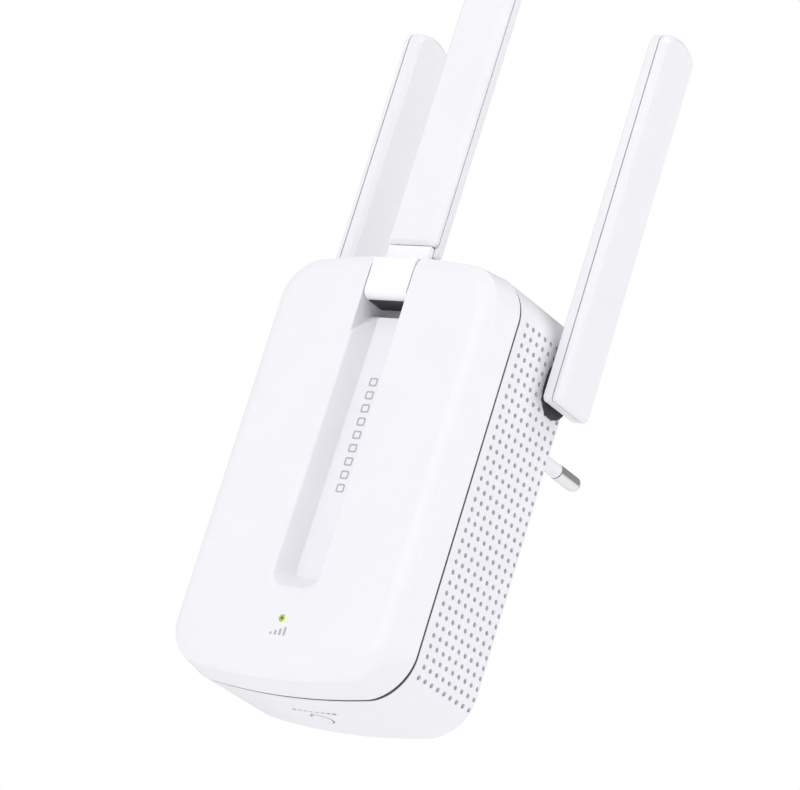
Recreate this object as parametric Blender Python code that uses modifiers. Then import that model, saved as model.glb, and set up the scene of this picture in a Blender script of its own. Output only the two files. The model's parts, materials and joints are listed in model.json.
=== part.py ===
"""Plug-in wifi range extender with three folding antennas, built as an assembly.

The plug face lies in the XZ plane through the origin, with the pins pointing along +Y into the
socket. The front of the device faces -Y and +Z is up. All lengths are in metres.
"""

import math

import bmesh
import bpy
from mathutils import Matrix, Vector

MM = 0.001
GAP = 0.3 * MM

# Case: outline seen from the front, and the depths of its faces behind the plug face.
BODY_WIDTH = 66.4 * MM
BODY_HEIGHT = 110.0 * MM
BODY_CENTRE_Z = -28.8 * MM
CORNER_RADIUS = 10.0 * MM
END_CROWN = 3.2 * MM
FRONT_Y = -63.9 * MM
EDGE_Y = -62.3 * MM
SEAM_Y = -53.3 * MM
BACK_Y = -25.5 * MM
EDGE_INSET = 1.3 * MM
ROLL_WIDTH = 4.5 * MM
ROLL_POWER = 2.2
PLATEAU_MARGIN = 0.4 * MM
BACK_RADIUS = 3.0 * MM
INNER_CORNER = 0.5 * MM
WALL = 2.0 * MM
SEAM_GAP = 0.5 * MM
LIP_LENGTH = 2.0 * MM
LIP_WALL = 1.0 * MM

# Groove in the front, and the slot above it that holds the middle hinge.
GROOVE_HALF_WIDTH_TOP = 6.4 * MM
GROOVE_HALF_WIDTH_BOTTOM = 7.0 * MM
GROOVE_BOTTOM_Z = -60.8 * MM
GROOVE_TOP_Z = 12.0 * MM
GROOVE_DEPTH = 5.6 * MM
GROOVE_RIM_INSET = 0.4 * MM
GROOVE_FLOOR_INSET = 2.3 * MM
GROOVE_CORNER = 3.8 * MM
TUB_HALF_WIDTH = 8.6 * MM
TUB_WALL = 1.5 * MM
SLOT_HALF_WIDTH = 6.6 * MM
SLOT_BOTTOM_Z = 10.6 * MM
SLOT_BACK_Y = -52.1 * MM
SLOT_BACK_WALL = 1.2 * MM
LEAD_HOLE_Z = 21.0 * MM

# Middle hinge.
PIVOT_Y = -58.3 * MM
PIVOT_Z = 18.5 * MM
BLOCK_HALF_WIDTH = 6.25 * MM
BLOCK_BOTTOM_Z = 13.7 * MM
BLOCK_TOP_Z = 24.4 * MM
BLOCK_BACK_Y = -53.9 * MM
BLOCK_ROUND = 2.2 * MM
BLOCK_TOP_ROUND = 1.2 * MM
BLOCK_BACK_SLOPE = 1.0 * MM
NECK_FRONT_INSET = 0.7 * MM
NECK_BACK_INSET = 0.9 * MM
TONGUE_THICKNESS_BACK = 1.7 * MM
LEAD_SPARE = 12.0 * MM
HINGE_PIN_RADIUS = 1.2 * MM
TONGUE_HALF_WIDTH = 4.0 * MM
TONGUE_TOP_Z = 38.0 * MM

# Antennas.
ANTENNA_WIDTH = 14.6 * MM
ANTENNA_LENGTH = 96.0 * MM
ANTENNA_CROWN = 2.6 * MM
ANTENNA_CORNER = 2.0 * MM
FACE_SHELL_DEPTH = 2.1 * MM
BACK_SHELL_DEPTH = 3.4 * MM
ANTENNA_WALL = 1.1 * MM
ANTENNA_CHAMFER = 1.0 * MM
MIDDLE_FACE_Y = -60.6 * MM
MIDDLE_FRONT_BOTTOM_Z = 29.2 * MM
MIDDLE_REAR_BOTTOM_Z = 26.8 * MM
SIDE_AXIS_Y = -31.9 * MM
SIDE_AXIS_Z = 7.0 * MM
SIDE_BOTTOM_Z = 0.0 * MM
SIDE_FACE_X = 40.0 * MM
HUB_AXLE_RADIUS = 2.9 * MM
HUB_SPIGOT_RADIUS = 4.0 * MM
HUB_FLANGE_RADIUS = 4.6 * MM
HUB_BORE_RADIUS = 1.2 * MM
HUB_INNER_X = 28.0 * MM
RING_GROOVE_RADIUS = 2.2 * MM
RING_OUTER_RADIUS = 4.1 * MM
RING_X = 30.5 * MM
RING_THICKNESS = 0.8 * MM
LEAD_RADIUS = 0.65 * MM
RADIATOR_THICKNESS = 0.4 * MM
RADIATOR_HALF_WIDTH = 2.5 * MM
RADIATOR_LENGTH = 68.0 * MM

# Plug.
PLUG_HALF_WIDTH = 12.6 * MM
PLUG_HALF_HEIGHT = 6.6 * MM
PLUG_CORNER = 3.0 * MM
PLUG_FACE_ROUND = 1.2 * MM
PLUG_WALL = 2.0 * MM
PLUG_CORE_HALF_WIDTH = 5.4 * MM
PLUG_FLANGE_WIDTH = 2.5 * MM
PLUG_FLANGE_DEPTH = 1.6 * MM
PIN_SPACING = 18.6 * MM
PIN_RADIUS = 2.0 * MM
PIN_LENGTH = 19.0 * MM
PIN_INNER_Y = -30.0 * MM
SLEEVE_LENGTH = 8.8 * MM
SLEEVE_RADIUS = 1.9 * MM
SHANK_RADIUS = 1.4 * MM
COLLAR_RADIUS = 2.4 * MM
COLLAR_Y = -28.3 * MM

# Boards inside the case.
MAIN_BOARD_Y = -46.0 * MM
MAIN_BOARD_THICKNESS = 1.2 * MM
MAIN_BOARD_HALF_WIDTH = 20.0 * MM
MAIN_BOARD_BOTTOM_Z = -79.0 * MM
MAIN_BOARD_TOP_Z = 8.0 * MM
POWER_BOARD_Y = -30.0 * MM
POWER_BOARD_THICKNESS = 1.6 * MM
POWER_BOARD_HALF_WIDTH = 20.0 * MM
POWER_BOARD_BOTTOM_Z = -72.0 * MM
POWER_BOARD_TOP_Z = -22.0 * MM
LIGHT_PIPE_Z = -68.1 * MM
LIGHT_PIPE_RADIUS = 0.75 * MM

# Pair button in the underside.
BUTTON_Y = -38.6 * MM
BUTTON_RADIUS = 2.6 * MM
BUTTON_PLATE_DEPTH = 0.9 * MM
SWITCH_Y = -43.3 * MM
SWITCH_GAP = 0.35 * MM

# Case screws.
SCREW_X = 24.5 * MM
SCREW_Z = (17.5 * MM, -75.5 * MM)
POST_RADIUS = 3.7 * MM
POST_END_Y = -50.0 * MM
SCREW_HEAD_Y = -33.5 * MM
SCREW_HEAD_RADIUS = 2.5 * MM
SCREW_HEAD_DEPTH = 2.2 * MM
SCREW_SHANK_RADIUS = 1.25 * MM
SCREW_LENGTH = 22.0 * MM

HALF_WIDTH = BODY_WIDTH / 2
TOP_Z = BODY_CENTRE_Z + BODY_HEIGHT / 2
BOTTOM_Z = BODY_CENTRE_Z - BODY_HEIGHT / 2
GROOVE_FLOOR_Y = FRONT_Y + GROOVE_DEPTH
BACK_INNER_Y = BACK_Y - WALL
MAIN_FRONT_Y = MAIN_BOARD_Y - MAIN_BOARD_THICKNESS / 2
MAIN_BACK_Y = MAIN_BOARD_Y + MAIN_BOARD_THICKNESS / 2
POWER_FRONT_Y = POWER_BOARD_Y - POWER_BOARD_THICKNESS / 2
SMOOTH_ANGLE = math.radians(32)


# ---------------------------------------------------------------- scene set-up

for stale in list(bpy.data.objects):
    bpy.data.objects.remove(stale, do_unlink=True)

PARTS = bpy.data.collections.new("wifi_range_extender")
CUTTERS = bpy.data.collections.new("cutters")
CUTTERS.hide_render = True
bpy.context.scene.collection.children.link(PARTS)
bpy.context.scene.collection.children.link(CUTTERS)


def material(name, colour, roughness, metallic=0.0):
    """A Principled material with one flat colour."""
    made = bpy.data.materials.new(name)
    made.use_nodes = True
    shader = made.node_tree.nodes["Principled BSDF"]
    shader.inputs["Base Color"].default_value = (*colour, 1.0)
    shader.inputs["Roughness"].default_value = roughness
    shader.inputs["Metallic"].default_value = metallic
    made.diffuse_color = (*colour, 1.0)
    return made


CASE_WHITE = material("case_white", (0.90, 0.90, 0.92), 0.28)
GLOSS_WHITE = material("gloss_white", (0.93, 0.93, 0.94), 0.08)
ANTENNA_WHITE = material("antenna_white", (0.88, 0.88, 0.90), 0.30)
BUTTON_WHITE = material("button_white", (0.86, 0.86, 0.88), 0.35)
SLEEVE_WHITE = material("sleeve_white", (0.84, 0.84, 0.85), 0.40)
CHROME = material("plug_chrome", (0.80, 0.80, 0.82), 0.12, 1.0)
STEEL = material("screw_steel", (0.55, 0.55, 0.57), 0.35, 1.0)
BRASS = material("contact_brass", (0.78, 0.60, 0.28), 0.30, 1.0)
BOARD_GREEN = material("board_green", (0.03, 0.20, 0.09), 0.45)
CHIP_BLACK = material("chip_black", (0.03, 0.03, 0.03), 0.55)
SHIELD_TIN = material("shield_tin", (0.70, 0.70, 0.72), 0.35, 1.0)
FERRITE = material("ferrite", (0.06, 0.06, 0.065), 0.70)
WINDING_TAPE = material("winding_tape", (0.85, 0.70, 0.10), 0.50)
CAPACITOR_SLEEVE = material("capacitor_sleeve", (0.05, 0.05, 0.09), 0.35)
COPPER = material("copper", (0.72, 0.38, 0.22), 0.35, 1.0)
LEAD_GREY = material("lead_grey", (0.20, 0.20, 0.21), 0.50)
LIGHT_GREEN = material("light_green", (0.23, 0.46, 0.03), 0.25)
FUSE_BROWN = material("fuse_brown", (0.30, 0.13, 0.05), 0.50)


# ---------------------------------------------------------------- modelling helpers

def add_object(name, mesh, look, collection=PARTS, location=(0, 0, 0), turn_z=0.0):
    """Link a mesh as a named object, smooth-shaded except at real edges."""
    made = bpy.data.objects.new(name, mesh)
    made.location = location
    made.rotation_euler = (0, 0, turn_z)
    collection.objects.link(made)
    if look is not None:
        mesh.materials.append(look)
    mesh.shade_smooth()
    mesh.set_sharp_from_angle(angle=SMOOTH_ANGLE)
    return made


def mesh_from(bm, name):
    """Turn a bmesh into a mesh with its faces pointing outwards."""
    bmesh.ops.recalc_face_normals(bm, faces=bm.faces)
    if bm.calc_volume(signed=True) < 0:
        bmesh.ops.reverse_faces(bm, faces=bm.faces)
    mesh = bpy.data.meshes.new(name)
    bm.to_mesh(mesh)
    bm.free()
    return mesh


def loft(name, rings):
    """A closed body skinned through rings of equal count, with both ends capped."""
    bm = bmesh.new()
    verts = [bm.verts.new(point) for point in rings[0]]
    edges = [bm.edges.new(pair) for pair in zip(verts, verts[1:] + verts[:1])]
    ends = [edges]
    for ring in rings[1:]:
        swept = bmesh.ops.extrude_edge_only(bm, edges=edges)["geom"]
        fresh = {item for item in swept if isinstance(item, bmesh.types.BMVert)}
        verts = [next(edge.other_vert(vert) for edge in vert.link_edges
                      if edge.other_vert(vert) in fresh) for vert in verts]
        for vert, point in zip(verts, ring):
            vert.co = point
        edges = [item for item in swept
                 if isinstance(item, bmesh.types.BMEdge) and fresh.issuperset(item.verts)]
    ends.append(edges)
    for end in ends:
        bmesh.ops.contextual_create(bm, geom=end)
    return mesh_from(bm, name)


def prism(name, outline, low, high, place):
    """A flat outline drawn out from low to high; place maps (u, v, w) to a point."""
    rings = [[place(u, v, w) for u, v in outline] for w in (low, high)]
    return loft(name, rings)


def box_mesh(name, low, high):
    """A box between two opposite corners."""
    low = Vector(low)
    high = Vector(high)
    bm = bmesh.new()
    size = high - low
    bmesh.ops.create_cube(bm, size=1.0, matrix=Matrix.LocRotScale((low + high) / 2, None, size))
    return mesh_from(bm, name)


def box(name, low, high, look, bevel=0.0, **options):
    """A box object between two corners, with softened edges if a bevel is given."""
    made = add_object(name, box_mesh(name, low, high), look, **options)
    if bevel:
        soften(made, bevel)
    return made


def soften(target, width, segments=2):
    """Round the sharp edges of an object."""
    bevel = target.modifiers.new("edge_rounding", "BEVEL")
    bevel.width = width
    bevel.segments = segments
    bevel.limit_method = "ANGLE"
    bevel.angle_limit = math.radians(40)
    return bevel


def cylinder(name, axis, radius, start, end, centre, look, collection=PARTS, steps=32):
    """A cylinder along axis "X", "Y" or "Z"; centre gives its other two coordinates."""
    bm = bmesh.new()
    bmesh.ops.create_cone(bm, cap_ends=True, segments=steps, radius1=radius, radius2=radius,
                          depth=end - start)
    turn = {"X": Matrix.Rotation(math.pi / 2, 4, "Y"),
            "Y": Matrix.Rotation(math.pi / 2, 4, "X"),
            "Z": Matrix.Identity(4)}[axis]
    middle = (start + end) / 2
    first, second = centre
    place = {"X": (middle, first, second),
             "Y": (first, middle, second),
             "Z": (first, second, middle)}[axis]
    bmesh.ops.transform(bm, matrix=Matrix.Translation(place) @ turn, verts=bm.verts)
    return add_object(name, mesh_from(bm, name), look, collection=collection)


def turned(name, profile, axis, origin, look, steps=40, flip=False):
    """A turned body about "X" or "Y". profile holds (radius, height) pairs from top to bottom.

    A profile that never reaches the axis is closed into a loop. flip points heights along -X.
    """
    bm = bmesh.new()
    verts = [bm.verts.new((radius, 0.0, height)) for radius, height in profile]
    for pair in zip(verts, verts[1:]):
        bm.edges.new(pair)
    if profile[0][0] > 0.0:
        bm.edges.new((verts[-1], verts[0]))
    mesh = bpy.data.meshes.new(name)
    bm.to_mesh(mesh)
    bm.free()
    made = bpy.data.objects.new(name, mesh)
    mesh.materials.append(look)
    made.location = origin
    quarter = math.pi / 2
    if axis == "X":
        made.rotation_euler = (0, -quarter if flip else quarter, 0)
    else:
        made.rotation_euler = (-quarter, 0, 0)
    PARTS.objects.link(made)
    screw = made.modifiers.new("turn", "SCREW")
    screw.steps = steps
    screw.render_steps = steps
    screw.use_merge_vertices = True
    screw.merge_threshold = 0.000001
    screw.use_smooth_shade = False
    return made


def boolean(target, tool, operation):
    """Join or cut with an exact Boolean; the tool goes with the hidden cutters."""
    for owner in list(tool.users_collection):
        owner.objects.unlink(tool)
    CUTTERS.objects.link(tool)
    tool.hide_render = True
    tool.display_type = "WIRE"
    step = target.modifiers.new(tool.name, "BOOLEAN")
    step.operation = operation
    step.solver = "EXACT"
    step.object = tool


def cut(target, tool):
    """Remove the tool's volume."""
    boolean(target, tool, "DIFFERENCE")


def join(target, tool):
    """Add the tool's volume."""
    boolean(target, tool, "UNION")


def even_shading(target):
    """Keep large flat faces flat-looking after the Booleans."""
    target.modifiers.new("even_shading", "WEIGHTED_NORMAL").keep_sharp = True


def cutter_box(name, low, high):
    """A box used only as a Boolean tool."""
    return box(name, low, high, None, collection=CUTTERS)


def cutter_rod(name, axis, radius, start, end, centre, steps=32):
    """A cylinder used only as a Boolean tool."""
    return cylinder(name, axis, radius, start, end, centre, None, CUTTERS, steps)


def tube(name, points, radius, look):
    """A round lead through the given points."""
    curve = bpy.data.curves.new(name, "CURVE")
    curve.dimensions = "3D"
    curve.resolution_u = 5
    curve.bevel_depth = radius
    curve.bevel_resolution = 2
    curve.use_fill_caps = True
    spline = curve.splines.new("BEZIER")
    spline.bezier_points.add(len(points) - 1)
    for knot, point in zip(spline.bezier_points, points):
        knot.co = point
        knot.handle_left_type = "AUTO"
        knot.handle_right_type = "AUTO"
    curve.materials.append(look)
    made = bpy.data.objects.new(name, curve)
    PARTS.objects.link(made)
    return made


def arc(centre_u, centre_v, radius, start, end, steps):
    """Points (u, v) along an arc; angles are in degrees."""
    angles = [math.radians(start + (end - start) * i / steps) for i in range(steps + 1)]
    return [(centre_u + radius * math.cos(a), centre_v + radius * math.sin(a)) for a in angles]


# ---------------------------------------------------------------- case outlines

def rounded_rectangle(half_width, half_height, radius, crown, edge_steps=8, corner_steps=8):
    """An outline (x, z) with round corners and gently crowned top and bottom edges."""
    corner_x = half_width - radius
    corner_z = half_height - radius
    points = []
    for sign_x, sign_z, start in ((1, 1, 0), (-1, 1, 90), (-1, -1, 180), (1, -1, 270)):
        points += arc(sign_x * corner_x, sign_z * corner_z, radius, start, start + 90, corner_steps)
        if start in (0, 180):
            step = -sign_x * 2 * corner_x / edge_steps
            points += [(sign_x * corner_x + step * i, sign_z * half_height)
                       for i in range(1, edge_steps)]
    return [(x, z - math.copysign(crown * (x / half_width) ** 2, z)) for x, z in points]


def case_ring(inset, y):
    """The case outline pulled in by inset, at depth y."""
    radius = max(CORNER_RADIUS - inset, 1.0 * MM)
    outline = rounded_rectangle(HALF_WIDTH - inset, BODY_HEIGHT / 2 - inset, radius, END_CROWN)
    return [(x, y, BODY_CENTRE_Z + z) for x, z in outline]


def groove_ring(inset, y):
    """The groove outline pulled in by inset, at depth y; it runs up into the hinge slot."""
    top = GROOVE_HALF_WIDTH_TOP - inset
    bottom = GROOVE_HALF_WIDTH_BOTTOM - inset
    radius = GROOVE_CORNER - inset * 0.6
    base_z = GROOVE_BOTTOM_Z + inset
    outline = [(top, GROOVE_TOP_Z), (-top, GROOVE_TOP_Z)]
    outline += arc(-bottom + radius, base_z + radius, radius, 180, 270, 6)
    outline += arc(bottom - radius, base_z + radius, radius, 270, 360, 6)
    return [(x, y, z) for x, z in outline]


# ---------------------------------------------------------------- case

def make_front_cover():
    """Front cover: rolled plateau, side skirt, locating lip, groove tub and hinge slot."""
    roll_steps = 5
    roll_drop = EDGE_Y - FRONT_Y
    rings = [case_ring(EDGE_INSET + ROLL_WIDTH + PLATEAU_MARGIN, FRONT_Y)]
    for i in range(roll_steps + 1):
        along = i / roll_steps
        inset = EDGE_INSET + ROLL_WIDTH * (1 - along)
        rings.append(case_ring(inset, FRONT_Y + roll_drop * along ** ROLL_POWER))
    seam = SEAM_Y - SEAM_GAP / 2
    lip_outer = WALL + GAP
    lip_inner = lip_outer + LIP_WALL
    rings.append(case_ring(0.0, seam))
    rings.append(case_ring(lip_outer, seam))
    rings.append(case_ring(lip_outer, SEAM_Y + LIP_LENGTH))
    rings.append(case_ring(lip_inner, SEAM_Y + LIP_LENGTH))
    rings.append(case_ring(lip_inner, EDGE_Y + 0.8 * MM))
    rings.append(case_ring(EDGE_INSET + ROLL_WIDTH, FRONT_Y + WALL))
    cover = add_object("front_cover", loft("front_cover", rings), CASE_WHITE)

    overlap = 1.0 * MM
    tub_top = TOP_Z - lip_inner + overlap
    join(cover, cutter_box("groove_tub",
                           (-TUB_HALF_WIDTH, FRONT_Y + overlap, GROOVE_BOTTOM_Z - TUB_WALL),
                           (TUB_HALF_WIDTH, GROOVE_FLOOR_Y + TUB_WALL, tub_top)))
    join(cover, cutter_box("hinge_lugs",
                           (-TUB_HALF_WIDTH, FRONT_Y + overlap, SLOT_BOTTOM_Z - TUB_WALL),
                           (TUB_HALF_WIDTH, SEAM_Y - GAP, tub_top)))
    join(cover, cutter_box("slot_back",
                           (-TUB_HALF_WIDTH, SEAM_Y - overlap, SLOT_BOTTOM_Z - TUB_WALL),
                           (TUB_HALF_WIDTH, SLOT_BACK_Y + SLOT_BACK_WALL, TOP_Z - 3.0 * MM)))
    for index, (x, z) in enumerate(screw_places()):
        join(cover, cutter_rod(f"cover_post_{index}", "Y", POST_RADIUS - 0.4 * MM,
                               FRONT_Y + overlap, POST_END_Y - GAP, (x, z)))

    groove = loft("groove", [groove_ring(-overlap, FRONT_Y - overlap),
                             groove_ring(GROOVE_RIM_INSET, FRONT_Y + GROOVE_RIM_INSET),
                             groove_ring(GROOVE_FLOOR_INSET, GROOVE_FLOOR_Y)])
    cut(cover, add_object("groove_cut", groove, None, collection=CUTTERS))
    cut(cover, cutter_box("hinge_slot_cut",
                          (-SLOT_HALF_WIDTH, FRONT_Y - overlap, SLOT_BOTTOM_Z),
                          (SLOT_HALF_WIDTH, SLOT_BACK_Y, TOP_Z + overlap)))
    cut(cover, cutter_rod("lead_hole", "Y", LEAD_RADIUS + 0.35 * MM,
                          SLOT_BACK_Y - overlap, SLOT_BACK_Y + 2 * overlap, (0.0, LEAD_HOLE_Z), 24))
    cut(cover, cutter_rod("hinge_pin_cut", "X", HINGE_PIN_RADIUS + 0.2 * MM,
                          -TUB_HALF_WIDTH - overlap, TUB_HALF_WIDTH + overlap, (PIVOT_Y, PIVOT_Z)))
    cut(cover, cutter_rod("light_pipe_cut", "Y", LIGHT_PIPE_RADIUS + 0.15 * MM,
                          FRONT_Y - overlap, FRONT_Y + WALL + overlap, (0.0, LIGHT_PIPE_Z), 24))
    for index, (x, z) in enumerate(screw_places()):
        cut(cover, cutter_rod(f"cover_bore_{index}", "Y", SCREW_SHANK_RADIUS + 0.2 * MM,
                              SCREW_HEAD_Y - SCREW_LENGTH - overlap, POST_END_Y, (x, z), 24))
    even_shading(cover)


def make_rear_housing():
    """Rear housing: deep tray with the plug opening, hub holes, button hole and screw posts."""
    rings = []
    round_steps = 5
    for i in range(round_steps + 1):
        angle = math.pi / 2 * i / round_steps
        rings.append(case_ring(BACK_RADIUS * (1 - math.sin(angle)),
                               BACK_Y - BACK_RADIUS * (1 - math.cos(angle))))
    seam = SEAM_Y + SEAM_GAP / 2
    rings.append(case_ring(0.0, seam))
    rings.append(case_ring(WALL, seam))
    rings.append(case_ring(WALL, BACK_INNER_Y - INNER_CORNER))
    rings.append(case_ring(WALL + INNER_CORNER, BACK_INNER_Y))
    housing = add_object("rear_housing", loft("rear_housing", rings), CASE_WHITE)

    overlap = 1.0 * MM
    for index, (x, z) in enumerate(screw_places()):
        join(housing, cutter_rod(f"housing_post_{index}", "Y", POST_RADIUS,
                                 POST_END_Y, BACK_Y - overlap, (x, z)))
    for index, (x, z) in enumerate(screw_places()):
        cut(housing, cutter_rod(f"head_bore_{index}", "Y", SCREW_HEAD_RADIUS + GAP,
                                SCREW_HEAD_Y, BACK_Y + overlap, (x, z)))
        cut(housing, cutter_rod(f"shank_bore_{index}", "Y", SCREW_SHANK_RADIUS + GAP,
                                POST_END_Y - overlap, SCREW_HEAD_Y + overlap, (x, z), 24))
    opening = loft("plug_opening", [plug_ring(-GAP, BACK_INNER_Y - overlap),
                                    plug_ring(-GAP, BACK_Y + overlap)])
    cut(housing, add_object("plug_opening", opening, None, collection=CUTTERS))
    for side, sign in (("left", -1), ("right", 1)):
        low, high = sorted((sign * (HALF_WIDTH - WALL - overlap), sign * (HALF_WIDTH + overlap)))
        cut(housing, cutter_rod(f"{side}_hub_hole", "X", HUB_AXLE_RADIUS + GAP,
                                low, high, (SIDE_AXIS_Y, SIDE_AXIS_Z), 40))
    cut(housing, cutter_rod("button_hole", "Z", BUTTON_RADIUS + GAP,
                            BOTTOM_Z - overlap, BOTTOM_Z + WALL + overlap, (0.0, BUTTON_Y), 40))
    even_shading(housing)


def screw_places():
    """The four case screws, as (x, z)."""
    return [(sign * SCREW_X, z) for z in SCREW_Z for sign in (-1, 1)]


def make_screws():
    """Pan-head screws that pull the cover onto the housing."""
    for index, (x, z) in enumerate(screw_places(), start=1):
        head = SCREW_HEAD_RADIUS
        profile = [(0.0, 0.0), (head * 0.6, 0.0), (head, -0.7 * MM), (head, -SCREW_HEAD_DEPTH),
                   (SCREW_SHANK_RADIUS, -SCREW_HEAD_DEPTH),
                   (SCREW_SHANK_RADIUS, -SCREW_LENGTH + 1.0 * MM),
                   (SCREW_SHANK_RADIUS * 0.4, -SCREW_LENGTH), (0.0, -SCREW_LENGTH)]
        head_top = SCREW_HEAD_Y + SCREW_HEAD_DEPTH + GAP
        screw = turned(f"case_screw_{index}", profile, "Y", (x, head_top, z), STEEL, 24)
        slot = cutter_box(f"screw_slot_{index}",
                          (x - 1.6 * MM, head_top - 0.8 * MM, z - 0.35 * MM),
                          (x + 1.6 * MM, head_top + 1.0 * MM, z + 0.35 * MM))
        cut(screw, slot)


# ---------------------------------------------------------------- plug

def plug_ring(inset, y):
    """The plug outline pulled in by inset, at depth y."""
    outline = rounded_rectangle(PLUG_HALF_WIDTH - inset, PLUG_HALF_HEIGHT - inset,
                                PLUG_CORNER - inset, 0.0, edge_steps=1, corner_steps=6)
    return [(x, y, z) for x, z in outline]


def make_plug():
    """Plug boss with its two pins, their insulating sleeves and the contact springs."""
    flange_y = BACK_INNER_Y - GAP
    rear_y = flange_y - PLUG_FLANGE_DEPTH
    rings = [plug_ring(PLUG_FACE_ROUND, 0.0)]
    for angle in (30, 60, 90):
        turn = math.radians(angle)
        rings.append(plug_ring(PLUG_FACE_ROUND * (1 - math.sin(turn)),
                               -PLUG_FACE_ROUND * (1 - math.cos(turn))))
    rings += [plug_ring(0.0, flange_y), plug_ring(-PLUG_FLANGE_WIDTH, flange_y),
              plug_ring(-PLUG_FLANGE_WIDTH, rear_y)]
    boss = add_object("plug_boss", loft("plug_boss", rings), CASE_WHITE)
    overlap = 1.0 * MM
    core_half_height = PLUG_HALF_HEIGHT - PLUG_WALL
    cut(boss, cutter_box("plug_core", (-PLUG_CORE_HALF_WIDTH, rear_y - overlap, -core_half_height),
                         (PLUG_CORE_HALF_WIDTH, -PLUG_WALL, core_half_height)))
    for side, sign in (("left", -1), ("right", 1)):
        x = sign * PIN_SPACING / 2
        bores = [("sleeve_bore", SLEEVE_RADIUS, -PLUG_WALL - GAP, overlap),
                 ("shank_bore", SHANK_RADIUS, rear_y - overlap, overlap),
                 ("collar_bore", COLLAR_RADIUS, rear_y - overlap, COLLAR_Y + GAP)]
        for label, radius, low, high in bores:
            cut(boss, cutter_rod(f"{side}_{label}", "Y", radius + GAP, low, high, (x, 0.0), 32))
        make_pin(side, x)


def make_pin(side, x):
    """One plug pin, its sleeve and its contact spring."""
    tip = [(PIN_RADIUS * math.sin(math.radians(a)), PIN_LENGTH - PIN_RADIUS * 0.8
            * (1 - math.cos(math.radians(a)))) for a in range(0, 91, 15)]
    shoulder_y = SLEEVE_LENGTH + GAP
    profile = tip + [(PIN_RADIUS, shoulder_y), (SHANK_RADIUS, shoulder_y),
                     (SHANK_RADIUS, COLLAR_Y), (COLLAR_RADIUS, COLLAR_Y),
                     (COLLAR_RADIUS, PIN_INNER_Y), (0.0, PIN_INNER_Y)]
    turned(f"plug_pin_{side}", profile, "Y", (x, 0, 0), CHROME, 32)
    sleeve_inner = SHANK_RADIUS + 0.15 * MM
    sleeve = [(sleeve_inner, SLEEVE_LENGTH), (SLEEVE_RADIUS, SLEEVE_LENGTH),
              (SLEEVE_RADIUS, -PLUG_WALL), (sleeve_inner, -PLUG_WALL)]
    turned(f"pin_sleeve_{side}", sleeve, "Y", (x, 0, 0), SLEEVE_WHITE, 32)
    make_contact_spring(side, x)


def make_contact_spring(side, x):
    """A bent brass strip from the inner end of a pin to the power board."""
    half = 1.75 * MM
    touch_y = PIN_INNER_Y - 0.6 * MM
    board_y = POWER_FRONT_Y - 0.6 * MM
    bend_top = -10.0 * MM
    bend_bottom = -14.0 * MM
    path = [(touch_y, 2.4 * MM), (touch_y, bend_top), (board_y, bend_bottom),
            (board_y, POWER_BOARD_TOP_Z - 5.0 * MM)]
    bm = bmesh.new()
    verts = [bm.verts.new((x - half, y, z)) for y, z in path]
    edges = [bm.edges.new(pair) for pair in zip(verts, verts[1:])]
    swept = bmesh.ops.extrude_edge_only(bm, edges=edges)
    moved = [item for item in swept["geom"] if isinstance(item, bmesh.types.BMVert)]
    bmesh.ops.translate(bm, verts=moved, vec=(2 * half, 0, 0))
    spring = add_object(f"contact_spring_{side}", mesh_from(bm, f"contact_spring_{side}"), BRASS)
    sheet = spring.modifiers.new("sheet", "SOLIDIFY")
    sheet.thickness = 0.4 * MM
    sheet.offset = 0.0


# ---------------------------------------------------------------- boards

def on_main_front(name, centre, size, look, bevel=0.0, height_gap=GAP):
    """A box part that stands off the front of the main board; centre is (x, z)."""
    x, z = centre
    width, depth, height = size
    high_y = MAIN_FRONT_Y - height_gap
    return box(name, (x - width / 2, high_y - depth, z - height / 2),
               (x + width / 2, high_y, z + height / 2), look, bevel)


def on_power_board(name, centre, size, look, bevel=0.0):
    """A box part on the front of the power board; centre is (x, z)."""
    x, z = centre
    width, depth, height = size
    high_y = POWER_FRONT_Y - GAP
    return box(name, (x - width / 2, high_y - depth, z - height / 2),
               (x + width / 2, high_y, z + height / 2), look, bevel)


def make_main_board():
    """Main board with the radio, its shield, the status light and the pair switch."""
    half = MAIN_BOARD_THICKNESS / 2
    box("main_board", (-MAIN_BOARD_HALF_WIDTH, MAIN_BOARD_Y - half, MAIN_BOARD_BOTTOM_Z),
        (MAIN_BOARD_HALF_WIDTH, MAIN_BOARD_Y + half, MAIN_BOARD_TOP_Z), BOARD_GREEN, 0.15 * MM)
    shield_centre = (-4.0 * MM, -27.0 * MM)
    shield_size = (24.0 * MM, 3.0 * MM, 26.0 * MM)
    shield = on_main_front("rf_shield", shield_centre, shield_size, SHIELD_TIN)
    skin = 0.4 * MM
    x, z = shield_centre
    width, depth, height = shield_size
    front_y = MAIN_FRONT_Y - GAP - depth
    cut(shield, cutter_box("shield_hollow",
                           (x - width / 2 + skin, front_y + skin, z - height / 2 + skin),
                           (x + width / 2 - skin, MAIN_FRONT_Y + skin, z + height / 2 - skin)))
    on_main_front("radio_chip", (-6.0 * MM, -24.0 * MM), (9.0 * MM, 0.9 * MM, 9.0 * MM), CHIP_BLACK)
    on_main_front("crystal", (3.0 * MM, -34.0 * MM), (3.2 * MM, 0.8 * MM, 2.5 * MM), SHIELD_TIN)
    on_main_front("memory_chip", (13.5 * MM, -30.0 * MM), (5.2 * MM, 1.6 * MM, 6.0 * MM),
                  CHIP_BLACK, 0.15 * MM)
    led_depth = 0.9 * MM
    on_main_front("status_led", (0.0, LIGHT_PIPE_Z), (1.6 * MM, led_depth, 1.6 * MM), LIGHT_GREEN)
    make_light_pipe(MAIN_FRONT_Y - GAP - led_depth - GAP)
    make_pair_switch()


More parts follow.
